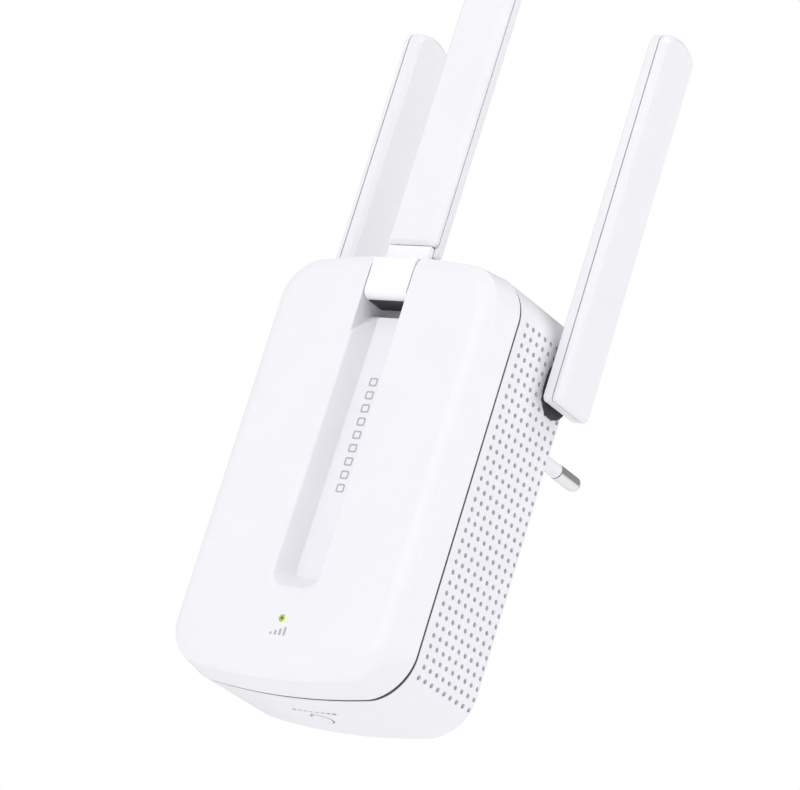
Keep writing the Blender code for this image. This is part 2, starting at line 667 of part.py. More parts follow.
def make_light_pipe(rear_y):
    """The green light pipe that carries the status light to the front."""
    collar_front = FRONT_Y + WALL + GAP
    collar_rear = collar_front + 1.2 * MM
    collar_radius = 1.6 * MM
    profile = [(0.0, rear_y), (LIGHT_PIPE_RADIUS, rear_y), (LIGHT_PIPE_RADIUS, collar_rear),
               (collar_radius, collar_rear), (collar_radius, collar_front),
               (LIGHT_PIPE_RADIUS, collar_front), (LIGHT_PIPE_RADIUS, FRONT_Y + 0.15 * MM),
               (LIGHT_PIPE_RADIUS - 0.15 * MM, FRONT_Y), (0.0, FRONT_Y)]
    turned("light_pipe", profile, "Y", (0, 0, LIGHT_PIPE_Z), LIGHT_GREEN, 24)


def make_pair_switch():
    """The pair button in the underside and the tact switch that it presses."""
    plate_low = BOTTOM_Z + WALL + GAP
    plate_high = plate_low + BUTTON_PLATE_DEPTH
    overlap = 0.3 * MM
    cap_face = BOTTOM_Z - 0.1 * MM
    button = cylinder("pair_button", "Z", BUTTON_RADIUS, cap_face, plate_high - overlap,
                      (0.0, BUTTON_Y), BUTTON_WHITE, steps=40)
    join(button, cutter_box("button_plate",
                            (-3.6 * MM, SWITCH_Y - 1.3 * MM, plate_low),
                            (3.6 * MM, BUTTON_Y + 3.6 * MM, plate_high)))
    shift_origin(button, (0.0, BUTTON_Y, cap_face))

    body_depth = 3.6 * MM
    body_rear = MAIN_BACK_Y + GAP
    plunger_low = plate_high + SWITCH_GAP
    plunger_length = 1.6 * MM
    body_low = plunger_low + 0.9 * MM
    plunger_radius = 0.9 * MM
    switch = box("switch_body", (-3.0 * MM, body_rear, body_low),
                 (3.0 * MM, body_rear + body_depth, body_low + 3.6 * MM), CHIP_BLACK)
    cut(switch, cutter_rod("plunger_bore", "Z", plunger_radius + 0.2 * MM, body_low - 1.0 * MM,
                           plunger_low + plunger_length + 0.7 * MM, (0.0, SWITCH_Y), 24))
    plunger = cylinder("switch_plunger", "Z", plunger_radius, plunger_low,
                       plunger_low + plunger_length, (0.0, SWITCH_Y), BUTTON_WHITE, steps=24)
    shift_origin(plunger, (0.0, SWITCH_Y, plunger_low))


def shift_origin(target, place):
    """Move an object's origin to a world point without moving its surface."""
    offset = Vector(place) - target.location
    target.data.transform(Matrix.Translation(-offset))
    target.location = place


def make_power_board():
    """Mains power supply: board, transformer, capacitors and the small parts around them."""
    half = POWER_BOARD_THICKNESS / 2
    box("power_board", (-POWER_BOARD_HALF_WIDTH, POWER_BOARD_Y - half, POWER_BOARD_BOTTOM_Z),
        (POWER_BOARD_HALF_WIDTH, POWER_BOARD_Y + half, POWER_BOARD_TOP_Z), BOARD_GREEN, 0.15 * MM)
    make_transformer(2.0 * MM, -45.0 * MM)
    for index, z in enumerate((-64.0 * MM, -53.5 * MM), start=1):
        make_capacitor(f"bulk_capacitor_{index}", -13.5 * MM, z, 4.5 * MM, 12.0 * MM)
    make_capacitor("output_capacitor", 14.0 * MM, -30.0 * MM, 4.0 * MM, 11.0 * MM)
    make_choke(14.0 * MM, -63.0 * MM)
    base_y = POWER_FRONT_Y - GAP
    fuse_radius = 1.8 * MM
    cylinder("fuse", "X", fuse_radius, -17.0 * MM, -8.0 * MM,
             (base_y - fuse_radius, -41.0 * MM), FUSE_BROWN, steps=24)
    on_power_board("bridge_rectifier", (2.0 * MM, -64.0 * MM), (6.5 * MM, 2.4 * MM, 5.0 * MM),
                   CHIP_BLACK, 0.2 * MM)
    on_power_board("optocoupler", (4.0 * MM, -28.0 * MM), (4.6 * MM, 3.4 * MM, 6.5 * MM),
                   CHIP_BLACK, 0.2 * MM)
    header_depth = POWER_FRONT_Y - MAIN_BACK_Y - 2 * GAP
    on_power_board("board_header", (-13.0 * MM, -33.0 * MM),
                   (7.6 * MM, header_depth, 2.5 * MM), CHIP_BLACK, 0.2 * MM)


def make_transformer(x, z):
    """A ferrite core with two windows, and the taped winding around its middle leg."""
    base_y = POWER_FRONT_Y - GAP
    half_width = 8.0 * MM
    half_height = 2.5 * MM
    depth = 12.6 * MM
    yoke = 1.9 * MM
    leg = 2.1 * MM
    window_outer = 6.2 * MM
    core = box("transformer_core", (x - half_width, base_y - depth, z - half_height),
               (x + half_width, base_y, z + half_height), FERRITE)
    for side, sign in (("left", -1), ("right", 1)):
        low, high = sorted((x + sign * leg, x + sign * window_outer))
        cut(core, cutter_box(f"core_window_{side}", (low, base_y - depth + yoke, z - 2 * half_height),
                             (high, base_y - yoke, z + 2 * half_height)))
    winding = box("transformer_winding",
                  (x - window_outer + GAP, base_y - depth + yoke + GAP, z - 6.0 * MM),
                  (x + window_outer - GAP, base_y - yoke - GAP, z + 6.0 * MM), WINDING_TAPE)
    cut(winding, cutter_box("winding_bore",
                            (x - leg - GAP, base_y - depth, z - half_height - GAP),
                            (x + leg + GAP, base_y, z + half_height + GAP)))


def make_capacitor(name, x, z, radius, height):
    """A can capacitor standing on the power board, with a crimped rim."""
    base_y = POWER_FRONT_Y - GAP
    crimp = 0.4 * MM
    profile = [(0.0, 0.0), (radius, 0.0), (radius, -1.2 * MM), (radius - crimp, -1.7 * MM),
               (radius, -2.2 * MM), (radius, -height + crimp), (radius - crimp, -height),
               (0.0, -height)]
    turned(name, profile, "Y", (x, base_y, z), CAPACITOR_SLEEVE, 32)


def make_choke(x, z):
    """A drum-core filter choke standing on the power board."""
    base_y = POWER_FRONT_Y - GAP
    drum = 4.0 * MM
    waist = 3.2 * MM
    profile = [(0.0, 0.0), (drum, 0.0), (drum, -1.2 * MM), (waist, -1.6 * MM),
               (waist, -7.4 * MM), (drum, -7.8 * MM), (drum, -9.0 * MM), (0.0, -9.0 * MM)]
    turned("filter_choke", profile, "Y", (x, base_y, z), FERRITE, 32)


# ---------------------------------------------------------------- antennas

def antenna_ring(inset, y, bottom):
    """The antenna outline pulled in by inset, in the plane y; its length runs along +Z."""
    half = ANTENNA_WIDTH / 2 - inset
    low = bottom + inset
    high = ANTENNA_LENGTH - inset
    radius = max(ANTENNA_CORNER - inset * 0.5, 0.6 * MM)
    outline = arc(half - radius, high - radius, radius, 0, 90, 5)
    steps = 8
    reach = half - radius
    outline += [(reach - 2 * reach * i / steps, high) for i in range(1, steps)]
    outline += arc(-half + radius, high - radius, radius, 90, 180, 5)
    outline += arc(-half + radius, low + radius, radius, 180, 270, 5)
    outline += arc(half - radius, low + radius, radius, 270, 360, 5)
    middle = ANTENNA_LENGTH / 2
    return [(x, y, z + (ANTENNA_CROWN * (1 - (x / half) ** 2) if z > middle else 0.0))
            for x, z in outline]


def antenna_shell(name, depth, direction, bottom):
    """One half of an antenna: a shallow tray whose mouth lies in the plane y = 0."""
    wall = ANTENNA_WALL
    face = direction * depth
    rings = [antenna_ring(ANTENNA_CHAMFER, face, bottom),
             antenna_ring(0.0, face - direction * ANTENNA_CHAMFER, bottom),
             antenna_ring(0.0, direction * GAP / 2, bottom),
             antenna_ring(wall, direction * GAP / 2, bottom),
             antenna_ring(wall + 0.2 * MM, face - direction * wall, bottom)]
    return loft(name, rings)


def make_middle_antenna():
    """Middle antenna: two shells, the hinge block with its pin, the radiator and the lead."""
    parting_y = MIDDLE_FACE_Y + FACE_SHELL_DEPTH
    rear_drop = MIDDLE_REAR_BOTTOM_Z - MIDDLE_FRONT_BOTTOM_Z
    offset = (0.0, parting_y, MIDDLE_FRONT_BOTTOM_Z)
    pivot = (0.0, PIVOT_Y, PIVOT_Z)

    front = add_object("middle_front_shell",
                       antenna_shell("middle_front_shell", FACE_SHELL_DEPTH, -1, 0.0),
                       ANTENNA_WHITE, location=offset)
    rear = add_object("middle_rear_shell",
                      antenna_shell("middle_rear_shell", BACK_SHELL_DEPTH, 1, rear_drop),
                      ANTENNA_WHITE, location=offset)
    for shell in (front, rear):
        shift_origin(shell, pivot)
        cut(shell, cutter_box(f"{shell.name}_mouth",
                              (-TONGUE_HALF_WIDTH - GAP, MIDDLE_FACE_Y + ANTENNA_WALL - 0.1 * MM,
                               MIDDLE_REAR_BOTTOM_Z - 1.0 * MM),
                              (TONGUE_HALF_WIDTH + GAP, parting_y + 2.2 * MM,
                               MIDDLE_FRONT_BOTTOM_Z + 2.0 * MM)))
    make_hinge_block(parting_y)
    half = RADIATOR_THICKNESS / 2
    radiator_low = TONGUE_TOP_Z + 4.0 * MM
    box("middle_radiator", (-RADIATOR_HALF_WIDTH, parting_y - half, radiator_low),
        (RADIATOR_HALF_WIDTH, parting_y + half, radiator_low + RADIATOR_LENGTH), COPPER)


def make_hinge_block(parting_y):
    """The gloss block that turns in the slot, its tongue into the antenna, pin and leads."""
    radius = BLOCK_ROUND
    neck_front = MIDDLE_FACE_Y + NECK_FRONT_INSET
    neck_back = BLOCK_BACK_Y - NECK_BACK_INSET
    outline = arc(FRONT_Y + radius, BLOCK_BOTTOM_Z + radius, radius, 180, 270, 6)
    outline += arc(BLOCK_BACK_Y - radius, BLOCK_BOTTOM_Z + radius, radius, 270, 360, 6)
    slope_top_z = BLOCK_TOP_Z - BLOCK_TOP_ROUND
    outline += [(BLOCK_BACK_Y, slope_top_z - BLOCK_BACK_SLOPE), (neck_back, slope_top_z),
                (neck_back, MIDDLE_REAR_BOTTOM_Z - GAP), (parting_y, MIDDLE_REAR_BOTTOM_Z - GAP),
                (parting_y, MIDDLE_FRONT_BOTTOM_Z - GAP), (neck_front, MIDDLE_FRONT_BOTTOM_Z - GAP)]
    outline += [(neck_front, BLOCK_TOP_Z)]
    outline += arc(FRONT_Y + BLOCK_TOP_ROUND, slope_top_z, BLOCK_TOP_ROUND, 90, 180, 4)[:-1]
    mesh = prism("middle_hinge_block", outline, -BLOCK_HALF_WIDTH, BLOCK_HALF_WIDTH,
                 lambda y, z, x: (x, y, z))
    block = add_object("middle_hinge_block", mesh, GLOSS_WHITE)
    shift_origin(block, (0.0, PIVOT_Y, PIVOT_Z))
    tongue = cutter_box("hinge_tongue",
                        (-TONGUE_HALF_WIDTH, MIDDLE_FACE_Y + ANTENNA_WALL + GAP,
                         MIDDLE_REAR_BOTTOM_Z - 2.0 * MM),
                        (TONGUE_HALF_WIDTH, parting_y + TONGUE_THICKNESS_BACK, TONGUE_TOP_Z))
    join(block, tongue)
    cut(block, cutter_rod("block_pin_bore", "X", HINGE_PIN_RADIUS + 0.2 * MM,
                          -BLOCK_HALF_WIDTH - 1.0 * MM, BLOCK_HALF_WIDTH + 1.0 * MM,
                          (PIVOT_Y, PIVOT_Z)))
    lead_y = parting_y + 1.2 * MM
    lead_low = PIVOT_Z + HINGE_PIN_RADIUS + 1.8 * MM
    channel_half = LEAD_RADIUS + 0.35 * MM
    cut(block, cutter_box("lead_channel", (-channel_half, lead_y - channel_half, lead_low - GAP),
                          (channel_half, BLOCK_BACK_Y + 1.0 * MM, TONGUE_TOP_Z + 1.0 * MM)))
    cylinder("middle_hinge_pin", "X", HINGE_PIN_RADIUS, -TUB_HALF_WIDTH + 0.2 * MM,
             TUB_HALF_WIDTH - 0.2 * MM, (PIVOT_Y, PIVOT_Z), STEEL, steps=24)
    tube("middle_antenna_lead",
         [(0.0, lead_y, lead_low), (0.0, lead_y, TONGUE_TOP_Z + 3.5 * MM)], LEAD_RADIUS, LEAD_GREY)
    board_lead_y = MAIN_FRONT_Y - LEAD_RADIUS - GAP
    tube("middle_board_lead",
         [(0.0, SLOT_BACK_Y + 0.3 * MM, LEAD_HOLE_Z), (0.0, SLOT_BACK_Y + 1.6 * MM, LEAD_HOLE_Z),
          (0.0, board_lead_y, LEAD_HOLE_Z - 5.0 * MM), (0.0, board_lead_y, MAIN_BOARD_TOP_Z),
          (0.0, board_lead_y, MAIN_BOARD_TOP_Z - LEAD_SPARE)],
         LEAD_RADIUS, LEAD_GREY)


def make_side_antenna(side, sign):
    """One side antenna: two shells, the hub with its retaining ring, radiator and leads."""
    parting_x = SIDE_FACE_X - FACE_SHELL_DEPTH
    quarter = sign * math.pi / 2
    pivot = (sign * parting_x, SIDE_AXIS_Y, SIDE_AXIS_Z)
    down_to_pivot = Matrix.Translation((0.0, 0.0, SIDE_BOTTOM_Z - SIDE_AXIS_Z))
    shells = {}
    for piece, depth, direction in (("outer", FACE_SHELL_DEPTH, -1), ("inner", BACK_SHELL_DEPTH, 1)):
        name = f"{side}_{piece}_shell"
        mesh = antenna_shell(name, depth, direction, 0.0)
        mesh.transform(down_to_pivot)
        shells[piece] = add_object(name, mesh, ANTENNA_WHITE, location=pivot, turn_z=quarter)
    hole_ends = sorted((sign * (parting_x - 4.9 * MM), sign * (parting_x - 0.6 * MM)))
    cut(shells["inner"], cutter_rod(f"{side}_spigot_hole", "X", HUB_SPIGOT_RADIUS + GAP,
                                    *hole_ends, (SIDE_AXIS_Y, SIDE_AXIS_Z), 40))
    make_hub(side, sign, parting_x)

    radiator_x = parting_x - 0.2 * MM
    half = RADIATOR_THICKNESS / 2
    low, high = sorted((sign * (radiator_x - half), sign * (radiator_x + half)))
    radiator_low = SIDE_AXIS_Z + 13.0 * MM
    box(f"{side}_radiator", (low, SIDE_AXIS_Y - RADIATOR_HALF_WIDTH, radiator_low),
        (high, SIDE_AXIS_Y + RADIATOR_HALF_WIDTH, radiator_low + RADIATOR_LENGTH), COPPER)
    tube(f"{side}_antenna_lead",
         [(sign * (HUB_INNER_X - 0.6 * MM), SIDE_AXIS_Y, SIDE_AXIS_Z),
          (sign * (parting_x - 3.2 * MM), SIDE_AXIS_Y, SIDE_AXIS_Z),
          (sign * (parting_x - 1.6 * MM), SIDE_AXIS_Y, SIDE_AXIS_Z),
          (sign * radiator_x, SIDE_AXIS_Y, SIDE_AXIS_Z + 1.6 * MM),
          (sign * radiator_x, SIDE_AXIS_Y, SIDE_AXIS_Z + 4.0 * MM),
          (sign * radiator_x, SIDE_AXIS_Y, radiator_low - 0.5 * MM)], LEAD_RADIUS, LEAD_GREY)
    board_lead_y = MAIN_FRONT_Y - LEAD_RADIUS - GAP
    board_edge = MAIN_BOARD_HALF_WIDTH
    tube(f"{side}_board_lead",
         [(sign * (HUB_INNER_X - 1.4 * MM), SIDE_AXIS_Y, SIDE_AXIS_Z),
          (sign * (board_edge + 3.0 * MM), SIDE_AXIS_Y - 7.0 * MM, SIDE_AXIS_Z - 3.0 * MM),
          (sign * (board_edge + 2.4 * MM), board_lead_y + 1.0 * MM, SIDE_AXIS_Z - 8.0 * MM),
          (sign * (board_edge - 4.0 * MM), board_lead_y, SIDE_AXIS_Z - 11.0 * MM)],
         LEAD_RADIUS, LEAD_GREY)


def make_hub(side, sign, parting_x):
    """The turned hub that carries a side antenna through the wall, and its retaining ring."""
    flange_inner = HALF_WIDTH + 0.2 * MM
    flange_outer = SIDE_FACE_X - FACE_SHELL_DEPTH - BACK_SHELL_DEPTH - 0.2 * MM
    spigot_end = parting_x - 1.4 * MM
    groove_low = RING_X - RING_THICKNESS / 2 - 0.1 * MM
    groove_high = RING_X + RING_THICKNESS / 2 + 0.1 * MM
    axle = HUB_AXLE_RADIUS
    profile = [(HUB_BORE_RADIUS, spigot_end), (HUB_SPIGOT_RADIUS, spigot_end),
               (HUB_SPIGOT_RADIUS, flange_outer), (HUB_FLANGE_RADIUS, flange_outer),
               (HUB_FLANGE_RADIUS, flange_inner), (axle, flange_inner), (axle, groove_high),
               (RING_GROOVE_RADIUS, groove_high), (RING_GROOVE_RADIUS, groove_low),
               (axle, groove_low), (axle, HUB_INNER_X), (HUB_BORE_RADIUS, HUB_INNER_X)]
    origin = (0, SIDE_AXIS_Y, SIDE_AXIS_Z)
    turned(f"{side}_hub", profile, "X", origin, CASE_WHITE, 40, flip=sign < 0)
    ring_low = RING_X - RING_THICKNESS / 2
    ring_high = RING_X + RING_THICKNESS / 2
    ring_inner = RING_GROOVE_RADIUS + 0.2 * MM
    ring_profile = [(ring_inner, ring_high), (RING_OUTER_RADIUS, ring_high), (RING_OUTER_RADIUS, ring_low),
                    (ring_inner, ring_low)]
    ring = turned(f"{side}_retaining_ring", ring_profile, "X", origin, STEEL, 32, flip=sign < 0)
    low, high = sorted((sign * (RING_X - 2 * RING_THICKNESS), sign * (RING_X + 2 * RING_THICKNESS)))
    cut(ring, cutter_box(f"{side}_ring_opening",
                         (low, SIDE_AXIS_Y - 1.5 * MM, SIDE_AXIS_Z - 2 * RING_OUTER_RADIUS),
                         (high, SIDE_AXIS_Y + 1.5 * MM, SIDE_AXIS_Z)))


make_front_cover()
make_rear_housing()
make_screws()
make_plug()
make_main_board()
make_power_board()
make_middle_antenna()
for side_name, side_sign in (("left", -1), ("right", 1)):
    make_side_antenna(side_name, side_sign)
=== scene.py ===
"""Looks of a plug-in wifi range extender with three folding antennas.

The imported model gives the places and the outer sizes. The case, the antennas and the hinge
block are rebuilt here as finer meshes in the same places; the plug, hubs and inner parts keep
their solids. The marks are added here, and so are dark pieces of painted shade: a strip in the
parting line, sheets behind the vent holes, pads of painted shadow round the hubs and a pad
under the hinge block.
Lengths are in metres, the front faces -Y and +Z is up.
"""

import json
import math

import bmesh
import bpy
from mathutils import Matrix, Vector


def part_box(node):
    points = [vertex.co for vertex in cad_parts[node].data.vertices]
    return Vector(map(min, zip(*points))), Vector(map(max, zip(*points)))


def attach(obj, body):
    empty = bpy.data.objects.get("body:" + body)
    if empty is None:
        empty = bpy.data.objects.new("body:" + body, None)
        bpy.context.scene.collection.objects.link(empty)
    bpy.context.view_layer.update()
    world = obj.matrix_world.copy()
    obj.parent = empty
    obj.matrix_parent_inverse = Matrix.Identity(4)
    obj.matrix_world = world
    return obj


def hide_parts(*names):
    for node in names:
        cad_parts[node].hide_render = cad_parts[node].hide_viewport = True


MM = 0.001

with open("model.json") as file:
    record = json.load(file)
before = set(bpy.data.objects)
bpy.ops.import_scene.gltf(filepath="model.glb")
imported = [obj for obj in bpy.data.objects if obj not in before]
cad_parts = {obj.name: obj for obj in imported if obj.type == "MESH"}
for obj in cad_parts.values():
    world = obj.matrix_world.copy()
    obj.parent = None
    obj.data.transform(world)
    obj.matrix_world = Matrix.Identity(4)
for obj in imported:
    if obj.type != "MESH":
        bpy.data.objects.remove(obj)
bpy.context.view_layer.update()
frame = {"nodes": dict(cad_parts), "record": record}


# ---------------------------------------------------------------- sizes from the frame

cover_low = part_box("front_cover")[0]
tray_low, tray_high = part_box("rear_housing")
block_low, block_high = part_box("middle_hinge_block")
pin_low, pin_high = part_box("middle_hinge_pin")
light_low, light_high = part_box("light_pipe")
button_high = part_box("pair_button")[1]
hub_low, hub_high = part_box("right_hub")
plug_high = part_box("plug_boss")[1]

HALF_WIDTH = tray_high.x
TOP_Z = tray_high.z
BOTTOM_Z = tray_low.z
CENTRE_Z = (TOP_Z + BOTTOM_Z) / 2
HALF_HEIGHT = (TOP_Z - BOTTOM_Z) / 2
FRONT_Y = cover_low.y
BACK_Y = tray_high.y
SEAM_Y = tray_low.y - 0.25 * MM
HUB_Y = (hub_low.y + hub_high.y) / 2
HUB_Z = (hub_low.z + hub_high.z) / 2
PIVOT_Y = (pin_low.y + pin_high.y) / 2
PIVOT_Z = (pin_low.z + pin_high.z) / 2

OVERSHOOT = 1.0 * MM
FIT_GAP = 0.3 * MM
CORNER_RADIUS = 10.0 * MM
END_CROWN = 3.2 * MM
EDGE_DROP = 1.6 * MM
EDGE_INSET = 1.3 * MM
EDGE_SOFT_INSET = 0.10 * MM
EDGE_SOFT_DROP = 0.25 * MM
PLATEAU_MARGIN = 0.6 * MM
SKIRT_END_INSET = 0.06 * MM
SKIRT_END_DROP = 0.5 * MM
ROOF_DROP = 0.8 * MM
SMALLEST_CORNER = 1.0 * MM
INNER_CHAMFER = 0.5 * MM
ROLL_WIDTH = 4.5 * MM
ROLL_POWER = 2.2
BACK_RADIUS = 3.0 * MM
WALL = 2.0 * MM
SEAM_GAP = 0.5 * MM
SEAM_EDGE_RADIUS = 0.3 * MM
# The dark strip in the parting line is painted shade; these sizes place it.
SEAM_SHADE_INSET = 0.16 * MM
SEAM_SHADE_FIT = 0.02 * MM
SEAM_SHADE_TUB_GAP = 0.5 * MM
SEAM_WIDENING = 0.5 * MM
SEAM_FADE = 12.0 * MM
LIP_LENGTH = 2.0 * MM
LIP_OUTER = 2.3 * MM
LIP_INNER = 3.3 * MM
# Back edge of the strip of painted shade in the parting line.
SEAM_SHADE_BACK_INSET = LIP_OUTER - 0.4 * MM

GROOVE_HALF_TOP = 6.4 * MM
GROOVE_HALF_BOTTOM = 7.0 * MM
GROOVE_BOTTOM_Z = -60.8 * MM
GROOVE_TOP_Z = 12.0 * MM
GROOVE_DEPTH = 5.6 * MM
GROOVE_CORNER = 3.8 * MM
GROOVE_END_SLOPE = 1.85
GROOVE_RIM_RADIUS = 0.9 * MM
GROOVE_RIM_START = -0.45 * MM
GROOVE_START_RISE = 0.02 * MM
GROOVE_FOOT_RADIUS = 0.35 * MM
GROOVE_LEAN = math.radians(22)
GROOVE_FIRST_TURN = math.radians(10)
SLOT_HALF_WIDTH = 6.6 * MM
SLOT_BOTTOM_Z = 10.6 * MM
SLOT_RIM_Z = 4.6 * MM
SLOT_BACK_WALL = 1.2 * MM
SLOT_BACK_TOP_DROP = 3.0 * MM
LEAD_HOLE_Z = 21.0 * MM
LEAD_HOLE_RADIUS = 1.0 * MM
BLOCK_BACK_Y = -53.9 * MM
BLOCK_ROUND = 2.2 * MM
BLOCK_EDGE_RADIUS = 0.3 * MM
# Sizes of the dark pad of painted shade under the hinge block.
PAD_SIDE_INSET = 0.5 * MM
PAD_FRONT_INSET = 0.1 * MM
PAD_DROP = 0.25 * MM
PAD_FIT = 0.02 * MM
SLOT_BACK_Y = -52.1 * MM
TUB_HALF_WIDTH = 8.6 * MM
TUB_WALL = 1.5 * MM
PIN_BORE_RADIUS = 1.4 * MM
LIGHT_HOLE_RADIUS = 0.9 * MM
SCREW_POST_RADIUS = 3.7 * MM
SCREW_HEAD_BORE_RADIUS = 2.8 * MM
SCREW_SHANK_BORE_RADIUS = 1.55 * MM
SCREW_HEAD_DEPTH = 2.5 * MM
SCREW_POST_FRONT_Y = -50.0 * MM
BUTTON_HOLE_RADIUS = 3.1 * MM
BUTTON_CAP_OFFSET = 3.6 * MM
HUB_HOLE_RADIUS = 3.2 * MM
# Sizes of the dark pads of painted shadow on the walls around the hubs.
HUB_SHADOW_INNER_RADIUS = 5.0 * MM
HUB_SHADOW_OUTER_RADIUS = 5.5 * MM
HUB_SHADOW_DROP = 3.4 * MM
HUB_SHADOW_THICKNESS = 0.5 * MM
HUB_SHADOW_FIT = 0.03 * MM
PLUG_CORNER = 3.0 * MM
PLUG_FLANGE_WIDTH = 2.5 * MM
ANTENNA_CROWN = 2.1 * MM
ANTENNA_CHAMFER = 1.0 * MM
ANTENNA_SOFT_EDGE = 0.18 * MM
ANTENNA_WALL = 1.1 * MM
ANTENNA_PARTING = 0.15 * MM
SPIGOT_HOLE_RADIUS = 4.3 * MM
SPIGOT_HOLE_START = 4.9 * MM
SPIGOT_HOLE_END = 0.6 * MM
SMALLEST_TIP_CORNER = 0.5 * MM
SMALLEST_FOOT_CORNER = 0.4 * MM
PARTING_BEVEL_DEPTH = 0.12 * MM
PARTING_BEVEL_INSET = 0.08 * MM
ANTENNA_FLOOR_TAPER = 0.2 * MM
MOUTH_HALF_WIDTH = 4.3 * MM
MOUTH_BACK_DEPTH = 2.2 * MM
MOUTH_RISE = 2.0 * MM
ANTENNA_TIP_CORNER = 1.7 * MM
ANTENNA_FOOT_CORNER = 1.1 * MM

VENT_COLUMNS = 9
VENT_ROWS = 35
VENT_FIRST_Y = -50.0 * MM
VENT_COLUMN_PITCH = 2.72 * MM
VENT_TOP_Z = 14.2 * MM
VENT_ROW_PITCH = 2.6 * MM
VENT_RADIUS = 0.62 * MM
VENT_HUB_CLEARANCE = 4.4 * MM
# Sizes of the dark sheets of painted shade behind the vent holes.
SHADE_SHEET_MARGIN = 1.5 * MM
SHADE_SHEET_FRONT_MARGIN = 1.3 * MM
SHADE_SHEET_BACK_MARGIN = 0.8 * MM
SHADE_SHEET_WALL_GAP = 0.03 * MM
SHADE_SHEET_THICKNESS = 0.20 * MM
SHADE_SHEET_HUB_RADIUS = 4.5 * MM

LIGHT_FADE_RADIUS = 0.75 * MM
MARK_SINK = 0.02 * MM
FRAME_X = 0.4 * MM
FRAME_HALF_WIDTH = 1.15 * MM
FRAME_HALF_HEIGHT = 1.05 * MM
FRAME_RIM = 0.34 * MM
FRAME_RELIEF = 0.10 * MM
BAR_DROP = 4.2 * MM
BAR_HALF_WIDTH = 0.32 * MM
BAR_FIRST_HALF_HEIGHT = 0.35 * MM
BAR_HALF_HEIGHT_STEP = 0.25 * MM
BAR_RELIEF = 0.05 * MM
TICK_HALF_WIDTH = 0.55 * MM
TICK_HALF_DEPTH = 0.32 * MM
TICK_SINK = 0.09 * MM
TICK_RELIEF = 0.12 * MM
FRAME_COUNT = 9
FRAME_FIRST_Z = -6.0 * MM
FRAME_PITCH = 3.4 * MM
BAR_COUNT = 4
BAR_PITCH = 1.3 * MM
TICK_COUNT = 8
TICK_FIRST_X = -5.0 * MM
TICK_PITCH = 1.7 * MM
TICK_OFFSET = 5.0 * MM


# ---------------------------------------------------------------- materials

def node(tree, kind, **inputs):
    """Add a shader node and set its named inputs."""
    made = tree.nodes.new(kind)
    for key, value in inputs.items():
        made.inputs[key.replace("_", " ")].default_value = value
    return made


def principled(name, colour, roughness, metallic=0.0, coat=0.0, coat_roughness=0.1):
    """A Principled material and its tree."""
    made = bpy.data.materials.new(name)
    made.use_nodes = True
    tree = made.node_tree
    shader = tree.nodes["Principled BSDF"]
    shader.inputs["Base Color"].default_value = (*colour, 1.0)
    shader.inputs["Roughness"].default_value = roughness
    shader.inputs["Metallic"].default_value = metallic
    shader.inputs["Coat Weight"].default_value = coat
    shader.inputs["Coat Roughness"].default_value = coat_roughness
    return made, tree, shader


def vary_colour(tree, shader, low, high, scale, detail=4.0):
    """Drift the base colour between two close tones."""
    place = tree.nodes.new("ShaderNodeTexCoord")
    noise = node(tree, "ShaderNodeTexNoise", Scale=scale, Detail=detail, Roughness=0.55)
    ramp = tree.nodes.new("ShaderNodeValToRGB")
    ramp.color_ramp.elements[0].position = 0.35
    ramp.color_ramp.elements[1].position = 0.65
    ramp.color_ramp.elements[0].color = (*low, 1.0)
    ramp.color_ramp.elements[1].color = (*high, 1.0)
    tree.links.new(place.outputs["Object"], noise.inputs["Vector"])
    tree.links.new(noise.outputs["Fac"], ramp.inputs["Fac"])
    tree.links.new(ramp.outputs["Color"], shader.inputs["Base Color"])


def vary_roughness(tree, shader, low, high, scale):
    """Drift the roughness, as handling and moulding do."""
    place = tree.nodes.new("ShaderNodeTexCoord")
    noise = node(tree, "ShaderNodeTexNoise", Scale=scale, Detail=6.0, Roughness=0.6)
    span = node(tree, "ShaderNodeMapRange", From_Min=0.3, From_Max=0.7, To_Min=low, To_Max=high)
    tree.links.new(place.outputs["Object"], noise.inputs["Vector"])
    tree.links.new(noise.outputs["Fac"], span.inputs["Value"])
    tree.links.new(span.outputs["Result"], shader.inputs["Roughness"])


def add_grain(tree, shader, scale, strength, distance):
    """A fine moulded grain as bump."""
    place = tree.nodes.new("ShaderNodeTexCoord")
    noise = node(tree, "ShaderNodeTexNoise", Scale=scale, Detail=3.0, Roughness=0.5)
    bump = node(tree, "ShaderNodeBump", Strength=strength, Distance=distance)
    tree.links.new(place.outputs["Object"], noise.inputs["Vector"])
    tree.links.new(noise.outputs["Fac"], bump.inputs["Height"])
    tree.links.new(bump.outputs["Normal"], shader.inputs["Normal"])


def moulded_plastic(name, colour, roughness, coat=0.0, grain=0.05):
    """Injection-moulded plastic: faint tone drift, uneven gloss and a fine grain."""
    made, tree, shader = principled(name, colour, sum(roughness) / 2, coat=coat)
    darker = tuple(channel * 0.985 for channel in colour)
    vary_colour(tree, shader, darker, colour, 60.0)
    vary_roughness(tree, shader, roughness[0], roughness[1], 140.0)
    add_grain(tree, shader, 5200.0, grain, 0.00004)
    return made


def worn_metal(name, colour, roughness, scale=900.0):
    """Plated or drawn metal with fine uneven polish."""
    made, tree, shader = principled(name, colour, sum(roughness) / 2, metallic=1.0)
    vary_roughness(tree, shader, roughness[0], roughness[1], scale)
    add_grain(tree, shader, 3500.0, 0.04, 0.00003)
    return made


